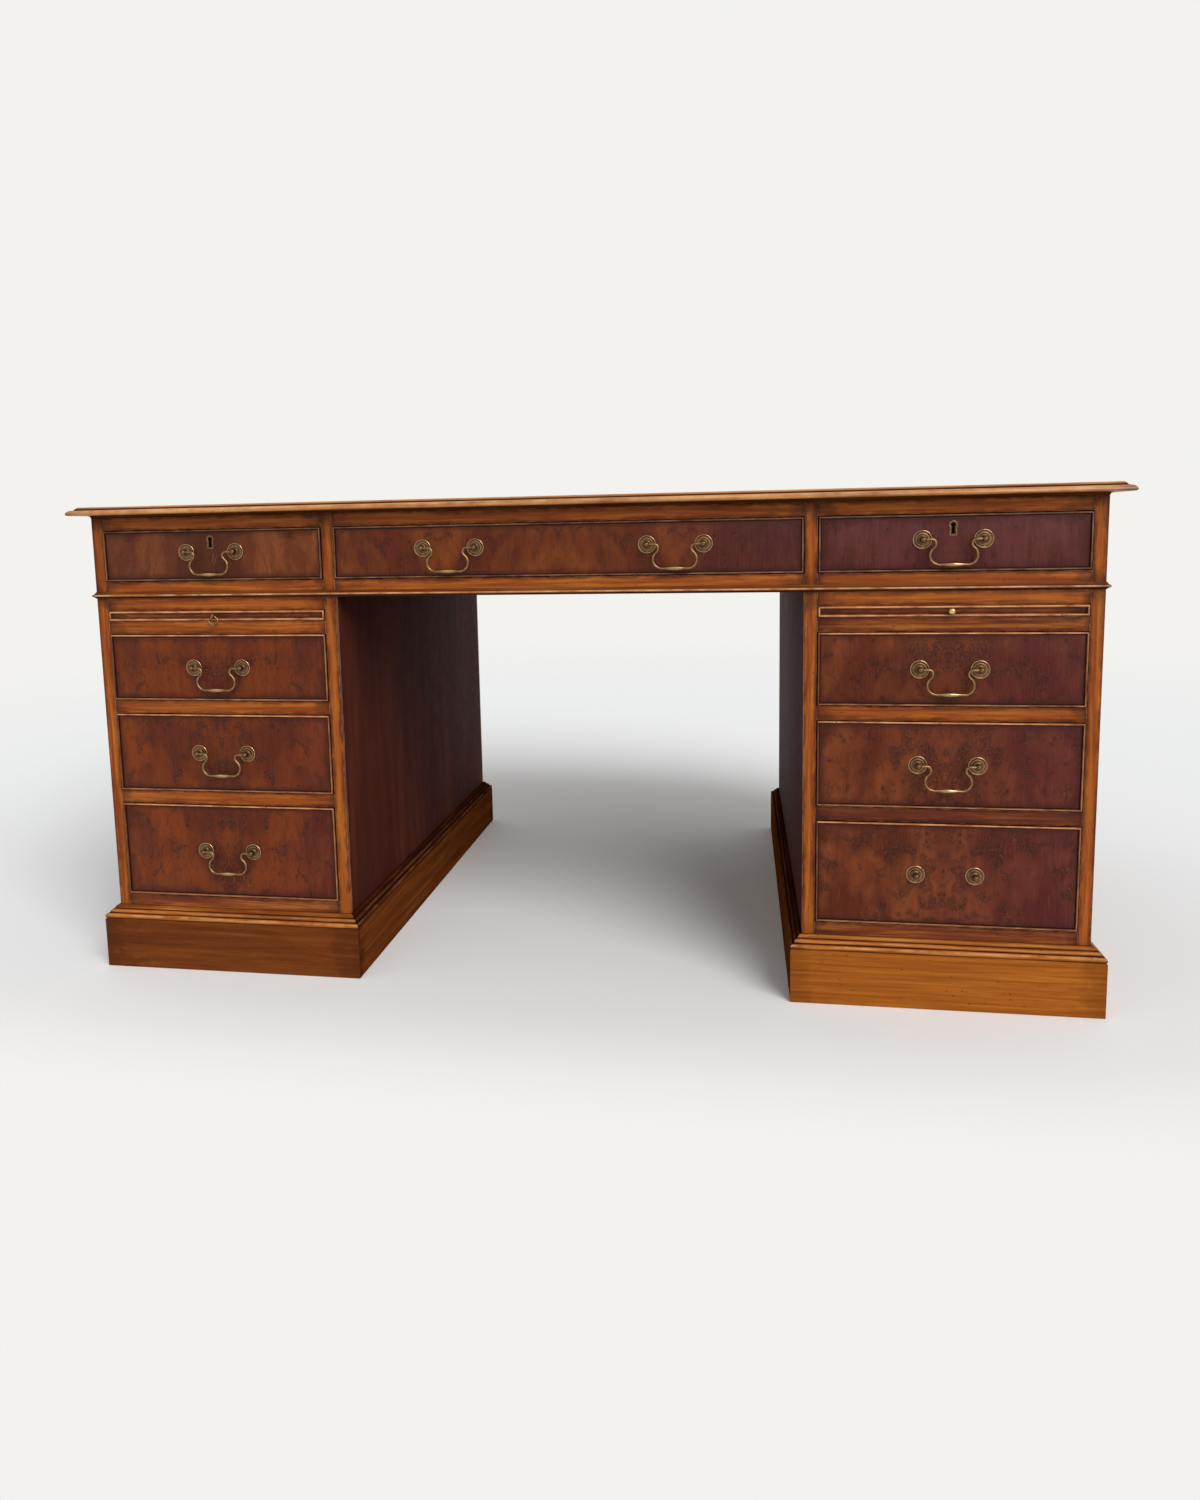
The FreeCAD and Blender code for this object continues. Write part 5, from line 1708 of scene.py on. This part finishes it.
@dataclass
class Top:
    """The top: core, crossbanded border, leather, and the moulded edge."""

    moulding_width: float = 30.0
    border: float = 112.0
    leather_t: float = 1.2
    overhang: float = 26.5
    cove: float = 4.5
    nose_rise: float = 2.9
    round_run: float = 5.0

    def edge(self) -> Piece:
        """The moulded edge: cove, thin nose, ovolo, hollow and top round.

        Returns:
            The edge, as one piece.
        """
        box = Box.of("top_edge_moulding")
        length, depth, _ = box.size()
        base, top = box.low[2], box.high[2]
        under = base + self.cove
        tip = (0.0, under + self.nose_rise)
        ovolo_end = (6.5, tip[1] + 5.5)
        hollow_end = (10.5, ovolo_end[1] + 2.0)
        run, rise = self.round_run, top - hollow_end[1]
        radius = (run ** 2 + rise ** 2) / (2 * rise)
        leave = 90 + math.degrees(math.asin(run / radius))
        cove = arc((self.overhang - self.cove, base), self.cove, 0, 90, 6)
        nose = arc((self.nose_rise, tip[1]), self.nose_rise, 270, 180, 6)[1:]
        top_round = arc((hollow_end[0] + run, top - radius), radius, leave, 90, 6)[1:]
        # Recess darkens the cove, the underside and the hollow as soiling and painted shade, and lightens the
        # nose, ovolo and top round, mostly as painted highlight and partly as wear.
        section = Section.of(
            ((self.moulding_width, base), 1.0), (cove, 0.85), ((12.0, under), 0.4),
            ((self.nose_rise, under), 0.05), (nose, (0.0, -0.3)),
            (bowed(tip, ovolo_end, 1.3, 8)[:-1], (-0.2, -0.5, -0.3, 0.0)), (ovolo_end, 0.85),
            (bowed(ovolo_end, hollow_end, -0.6, 5)[:-1], 0.95), (hollow_end, 0.7),
            (top_round, (0.1, -0.3, -0.1)), ((self.moulding_width, top), 0.0))
        shells = mitred_frame(section, length, depth, TOP_MOULDING, 8.0)
        return Piece("top_moulded_edge", "top_edge_moulding", "yew_moulding", shells)

    def panel(self) -> Piece:
        """The core and four crossbanded lengths with mitred ends, their grain square to the edge.

        Returns:
            Core and border, as one piece.
        """
        box = Box.of("top_panel")
        length, depth, _ = box.size()
        top = box.high[2]
        band_z = top - self.leather_t
        core = board(tuple(box.low), (*box.high[:2], band_z), LINING, Grain.X, 0.1)
        band = Section.of(([(0.0, band_z), (0.0, top), (self.border, top), (self.border, band_z)], 0.0))
        sides = [replace(side, grain=side.grain[:, [1, 0, 2]])
                 for side in mitred_frame(band, length, depth, BANDING, 40.0)]
        return Piece("top_crossbanding", "top_panel", "yew_frame", [core] + sides)

    def leather(self) -> Piece:
        """The inset leather, a sheet that is rounded over a hair at its edge.

        Returns:
            The leather, as one piece.
        """
        box = Box.of("leather_inset")
        return Piece("writing_leather", "leather_inset", "leather",
                     [board(tuple(box.low), tuple(box.high), LEATHER, Grain.X, 0.4)])

    def pieces(self) -> list[Piece]:
        """All three."""
        return [self.edge(), self.panel(), self.leather()]


@dataclass
class ButtHinge:
    """A butt hinge in the gap beside a door: two leaves with screws, three knuckles and a pin.

    base is the point of the pin's axis at mid length, dropped onto the plane of the beads' crowns; sign is
    the side of the door that the hinge is on.
    """

    base: Triple
    sign: int
    gap: float
    length: float = 63.0
    leaf_t: float = 0.7
    leaf_width: float = 18.5
    knuckle_radius: float = 3.0
    pin_radius: float = 1.5
    pin_end: float = 0.8
    play: float = 0.3
    screw_radius: float = 2.6
    screw_pitch: float = 21.0
    root: float = 2.0

    def barrel(self, radius: float, low: float, high: float, dome: float) -> Shell:
        """A turned length of a radius between two heights, eased or domed at its ends.

        Args:
            radius: of the barrel.
            low, high: its ends, from the hinge's middle.
            dome: height of its rounding.

        Returns:
            The barrel, on the pin's axis.
        """
        profile = np.array([(0.0, low), (radius - 0.5, low + 0.2 * dome), (radius, low + dome),
                            (radius, high - dome), (radius - 0.5, high - 0.2 * dome), (0.0, high)])
        recess = np.array([0.6, 0.6, 0.1, 0.1, 0.6, 0.6])
        x, y, z = self.base
        return turned(profile, BRASS, recess, 24).moved(x, y + self.knuckle_radius, z)

    def screws(self, x: float, y: float, showing: int) -> list[Shell]:
        """Three countersunk heads in a leaf's showing face, and their slots.

        Args:
            x: the leaf's showing face.
            y: the leaf's middle.
            showing: -1 or 1, the way along X that the face looks.

        Returns:
            Heads and slots.
        """
        aim = np.array([[0.0, 0, showing], [0, 1, 0], [-showing, 0, 0]])
        r = self.screw_radius
        head = turned(np.array([(0.0, -0.2), (r, -0.2), (r, 0.01), (r - 0.35, 0.05), (0.0, 0.05)]), BRASS,
                      np.array([1.0, 1.0, 1.0, 0.1, 0.0]), 24)
        # The slot is a black sliver, painted shadow, not a cut.
        slot = board((-0.3, -0.85 * r, -0.1), (0.3, 0.85 * r, 0.07), KEYHOLE, Grain.Y, 0.05)
        return [shell.placed(aim, (x, y, self.base[2] + k * self.screw_pitch)) for k in (-1, 0, 1)
                for shell in (head, slot)]

    def half(self, on_door: bool) -> list[Shell]:
        """One leaf with its knuckles: the middle one on the door, the outer two on the frame.

        Args:
            on_door: whether it is the door's half.

        Returns:
            Leaf, knuckles and screws.
        """
        x, y, z = self.base
        third = self.length / 3
        low = z - self.length / 2
        spans = [(low, low + third), (low + 2 * third, low + self.length)]
        showing = -self.sign
        if on_door:
            spans = [(low + third + self.play, low + 2 * third - self.play)]
            showing = self.sign
        start = x - self.gap / 2 if showing > 0 else x + self.gap / 2 - self.leaf_t
        end = start + self.leaf_t
        shells = [board((start, y - self.leaf_width, low), (end, y - self.play, low + self.length), BRASS,
                        Grain.Z, 0.2)]
        for a, b in spans:
            shells.append(board((start, y - self.root, a), (end, y + self.knuckle_radius, b), BRASS,
                                Grain.Z, 0.2))
            shells.append(self.barrel(self.knuckle_radius, a - z, b - z, 0.5))
        return shells + self.screws(end if showing > 0 else start, y - self.leaf_width / 2, showing)

    def pin(self) -> Shell:
        """The pin, whose domed ends show above and below the knuckles."""
        end = self.length / 2 + self.pin_end
        return self.barrel(self.pin_radius, -end, end, 0.7)


@dataclass
class Back:
    """The cupboard side: dummy drawer fronts with handles, and two cupboard doors."""

    door_gap: float = 1.6
    hinge_inset: float = 68.4

    def dummies(self) -> list[Piece]:
        """Three fixed fronts in one piece, their roses, and four bails.

        Returns:
            Fronts, roses and bails.
        """
        whole = Box.of("frieze_dummy_fronts")
        fronts = [Box.of(f"{place}_frieze_drawer_front") for place in ("left", "middle", "right")]
        grow = (whole.high[2] - whole.low[2] - fronts[0].high[2] + fronts[0].low[2]) / 2
        shells = []
        for k, front in enumerate(fronts):
            low, high = front.low.copy(), front.high.copy()
            low[[0, 2]] -= grow
            high[[0, 2]] += grow
            low[1], high[1] = whole.low[1], whole.high[1]
            shells += Fronts().front(Box(low, high), 1, FRIEZE_MIDDLE, DARK_BEAD, 40 + 5 * k)
        z = whole.middle()[2] + FRIEZE_HANDLE_RISE
        face_y = Fronts().face(whole, 1)
        handle = Handle()
        ends = fronts[2].middle()[0]
        places = {"left": -ends, "middle_left": -PAIR_OFFSET, "middle_right": PAIR_OFFSET, "right": ends}
        roses = [rose for x in places.values() for rose in handle.roses(x, z, 1, face_y)]
        bails = [Piece(f"back_{place}_bail_swan_neck", f"back_{place}_bail", "antique_brass",
                       [handle.bail(x, z, 1, face_y)]) for place, x in places.items()]
        return [Piece("frieze_dummy_veneered_fronts", "frieze_dummy_fronts", "yew_veneer", shells),
                Piece("frieze_dummy_roses", "frieze_dummy_brassware", "antique_brass", roses)] + bails

    def doors(self) -> list[Piece]:
        """Both cupboard doors with their brassware, and the hinge leaves and pins that stay on the frame.

        Returns:
            Each door and its brassware, then the frame's leaves.
        """
        made, fixed = [], []
        fronts, lock = Fronts(), Lock()
        for side, sign in (("left", -1), ("right", 1)):
            node = side + "_cupboard_door"
            box = Box.of(node)
            free, edge = (box.low[0], box.high[0]) if sign > 0 else (box.high[0], box.low[0])
            lock_x, lock_z = free + sign * (lock.case[0] / 2 + fronts.bead_width), box.middle()[2]
            brass = lock.fitted(lock_x, fronts.face(box, 1), lock_z, box.low[1], lock_z, 1)
            for z in (box.low[2] + self.hinge_inset, box.high[2] - self.hinge_inset):
                hinge = ButtHinge((edge + sign * self.door_gap / 2, box.high[1], z), sign, self.door_gap)
                brass += hinge.half(True)
                fixed += hinge.half(False) + [hinge.pin()]
            made += [Piece(node + "_veneered_front", node, "yew_veneer",
                           fronts.front(box, 1, LEFT_VENEER, PALE_BEAD, 70 + sign)),
                     Piece(node + "_lock_and_leaves", node + "_brassware", "antique_brass", brass)]
        return made + [Piece("cupboard_frame_leaves", "cupboard_hinge_leaves", "antique_brass", fixed)]

    def pieces(self) -> list[Piece]:
        """The whole cupboard side."""
        return self.dummies() + self.doors()


# ------------------------------------------------------------------------------------ studio
@dataclass
class Studio:
    """Pale floor, even light and the camera.

    The floor fades out between two distances from its middle, as shares of its radius, and between two
    distances ahead of its middle. Lengths are in metres, but the sensor's in mm; angles are in degrees.
    """

    backdrop: str = "#f3f2ee"
    paper: str = "#fafbfb"
    floor_radius: float = 5.5
    floor_sides: int = 96
    fade_far: Pair = (0.35, 0.98)
    fade_ahead: Pair = (0.46, 0.85)
    world_strength: float = 0.5
    key_strength: float = 2.0
    key_size: float = 38.0
    key_from: Triple = (0.78, -0.95, 0.95)
    eye: Triple = (0.26591, -1.88457, 0.72036)
    pitch: float = -6.745
    yaw: float = -8.961
    roll: float = -1.127
    focal_px: float = 975.95
    centre_px: Pair = (585.0, 645.87)
    frame_px: Pair = (1200.0, 1500.0)
    sensor: float = 36.0
    nearest: float = 0.05

    def link(self, name: str, data: bpy.types.ID) -> bpy.types.Object:
        """An object in the scene from its data.

        Args:
            name: the object's name.
            data: its mesh, lamp or camera.

        Returns:
            The object.
        """
        made = bpy.data.objects.new(name, data)
        bpy.context.scene.collection.objects.link(made)
        return made

    def world(self) -> None:
        """Even white light, and the pale backdrop for camera, glossy and transmission rays."""
        world = bpy.data.worlds.new("studio_world")
        world.use_nodes = True
        tree = world.node_tree
        tree.nodes.clear()
        path = add(tree, "LightPath")
        seen = path.outputs["Is Camera Ray"]
        for ray in ("Is Glossy Ray", "Is Transmission Ray"):
            seen = add(tree, "Math", {0: seen, 1: path.outputs[ray]}, operation="MAXIMUM")
        light = add(tree, "Background", {"Color": (1, 1, 1, 1), "Strength": self.world_strength})
        shown = add(tree, "Background", {"Color": linear(self.backdrop), "Strength": 1.0})
        add(tree, "OutputWorld", {"Surface": add(tree, "MixShader", {0: seen, 1: light, 2: shown})})
        bpy.context.scene.world = world

    def floor(self) -> None:
        """A round floor that fades into the backdrop, far out and soon in front of the desk."""
        angle = np.linspace(0, 2 * np.pi, self.floor_sides, endpoint=False)
        radius = np.array([0.0, 0.5, 1.0])[:, None] * self.floor_radius
        rings = np.stack([radius * np.cos(angle), radius * np.sin(angle), radius * np.zeros(len(angle))], -1)
        kept, faces, _ = welded(rings.reshape(-1, 3), grid_faces(3, self.floor_sides, wrap_columns=True))
        mesh = bpy.data.meshes.new("floor")
        mesh.from_pydata(kept.tolist(), [], faces)
        material = bpy.data.materials.new("floor_paper")
        material.use_nodes = True
        tree = material.node_tree
        tree.nodes.clear()
        place = add(tree, "TexCoord").outputs["Object"]
        far = add(tree, "VectorMath", {0: place}, operation="LENGTH").outputs["Value"]
        start, end = (share * self.floor_radius for share in self.fade_far)
        away = add(tree, "MapRange", {"Value": far, "From Min": start, "From Max": end},
                   interpolation_type="SMOOTHERSTEP")
        y = add(tree, "SeparateXYZ", {0: place}).outputs["Y"]
        start, end = self.fade_ahead
        ahead = add(tree, "MapRange", {"Value": y, "From Min": -start, "From Max": -end},
                    interpolation_type="SMOOTHERSTEP")
        fade = add(tree, "Math", {0: away, 1: ahead}, operation="MAXIMUM")
        paper = add(tree, "BsdfDiffuse", {"Color": linear(self.paper)})
        mixed = add(tree, "MixShader", {0: fade, 1: paper, 2: add(tree, "BsdfTransparent")})
        add(tree, "OutputMaterial", {"Surface": mixed})
        mesh.materials.append(material)
        self.link("floor", mesh)

    def lamp(self) -> None:
        """One broad soft sun from the front right."""
        sun = bpy.data.lights.new("key", "SUN")
        sun.energy = self.key_strength
        sun.angle = math.radians(self.key_size)
        aim = Vector(self.key_from).to_track_quat("Z", "Y")
        self.link("key", sun).rotation_euler = aim.to_euler()

    def camera(self) -> None:
        """The camera, from its place, its three angles and its focal length in pixels."""
        pitch, yaw, roll = (math.radians(a) for a in (self.pitch, self.yaw, self.roll))
        ahead = np.array([math.sin(yaw) * math.cos(pitch), math.cos(yaw) * math.cos(pitch), math.sin(pitch)])
        level = np.array([math.cos(yaw), -math.sin(yaw), 0.0])
        upright = np.cross(level, ahead)
        right = level * math.cos(roll) + upright * math.sin(roll)
        up = upright * math.cos(roll) - level * math.sin(roll)
        data = bpy.data.cameras.new("camera")
        long_side = max(self.frame_px)
        data.sensor_width = self.sensor
        data.lens = self.focal_px / long_side * self.sensor
        data.shift_x = (self.frame_px[0] / 2 - self.centre_px[0]) / long_side
        data.shift_y = (self.centre_px[1] - self.frame_px[1] / 2) / long_side
        data.clip_start = self.nearest
        made = self.link("camera", data)
        turn = Matrix(np.column_stack([right, up, -ahead]).tolist())
        made.matrix_world = Matrix.Translation(self.eye) @ turn.to_4x4()
        bpy.context.scene.camera = made

    def build(self) -> None:
        """Set all of it up, with the Standard view transform."""
        bpy.context.scene.view_settings.view_transform = "Standard"
        self.world()
        self.floor()
        self.lamp()
        self.camera()


# ------------------------------------------------------------------------------------ the desk
# Two drawers have scratches under their handles.
SCRATCHES = {"left_frieze_drawer": ((3.0, -5.0, 14.0, 12.0), (6.5, -9.0, 20.0, 22.0)),
             "left_lower_drawer": ((-14.0, -54.0, 8.0, 20.0), (4.0, -50.0, 11.0, 12.0),
                                   (22.0, -45.0, 10.0, -14.0), (29.0, -56.0, 12.0, -12.0),
                                   (32.0, -58.0, 6.0, -80.0))}


def drawers() -> list[Drawer]:
    """The nine drawers; the lower right one has lost its bail.

    Returns:
        Each side's four, then the middle one.
    """
    made = []
    for k, (side, frieze, veneer) in enumerate((("left", FRIEZE_LEFT, LEFT_VENEER),
                                                ("right", FRIEZE_RIGHT, RIGHT_VENEER))):
        name = side + "_frieze_drawer"
        made.append(Drawer(name, handle_rise=FRIEZE_HANDLE_RISE, locked=True, veneer=frieze,
                           bead=DARK_BEAD, scratches=SCRATCHES.get(name, ()), seed=10 + k))
        for j, level in enumerate(("upper", "centre", "lower")):
            name = f"{side}_{level}_drawer"
            made.append(Drawer(name, bails=() if name == "right_lower_drawer" else ("_bail",), veneer=veneer,
                               scratches=SCRATCHES.get(name, ()), seed=20 + 5 * k + j))
    made.append(Drawer("middle_frieze_drawer", handle_rise=FRIEZE_HANDLE_RISE,
                       handle_offsets=(-PAIR_OFFSET, PAIR_OFFSET), bails=("_left_bail", "_right_bail"),
                       veneer=FRIEZE_MIDDLE, bead=DARK_BEAD, seed=3))
    return made


def main() -> None:
    """Load the frame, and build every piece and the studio."""
    logging.basicConfig(level=logging.INFO, format="%(name)s %(message)s")
    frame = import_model()
    right_rails = (BROWN_FRAMING, RED_FRAMING, FRAMING, BROWN_FRAMING, FRAMING)
    makers = [Top(), Frieze(), Pedestal("left", LEFT_PLINTH), Pedestal("right", RIGHT_PLINTH, right_rails),
              *drawers(), BrushingSlide("left"), BrushingSlide("right"), SlideKnob(), SlideLoop(), Back()]
    for maker in makers:
        for piece in maker.pieces():
            piece.build(frame)
    Studio().build()


if __name__ == "__main__":
    main()
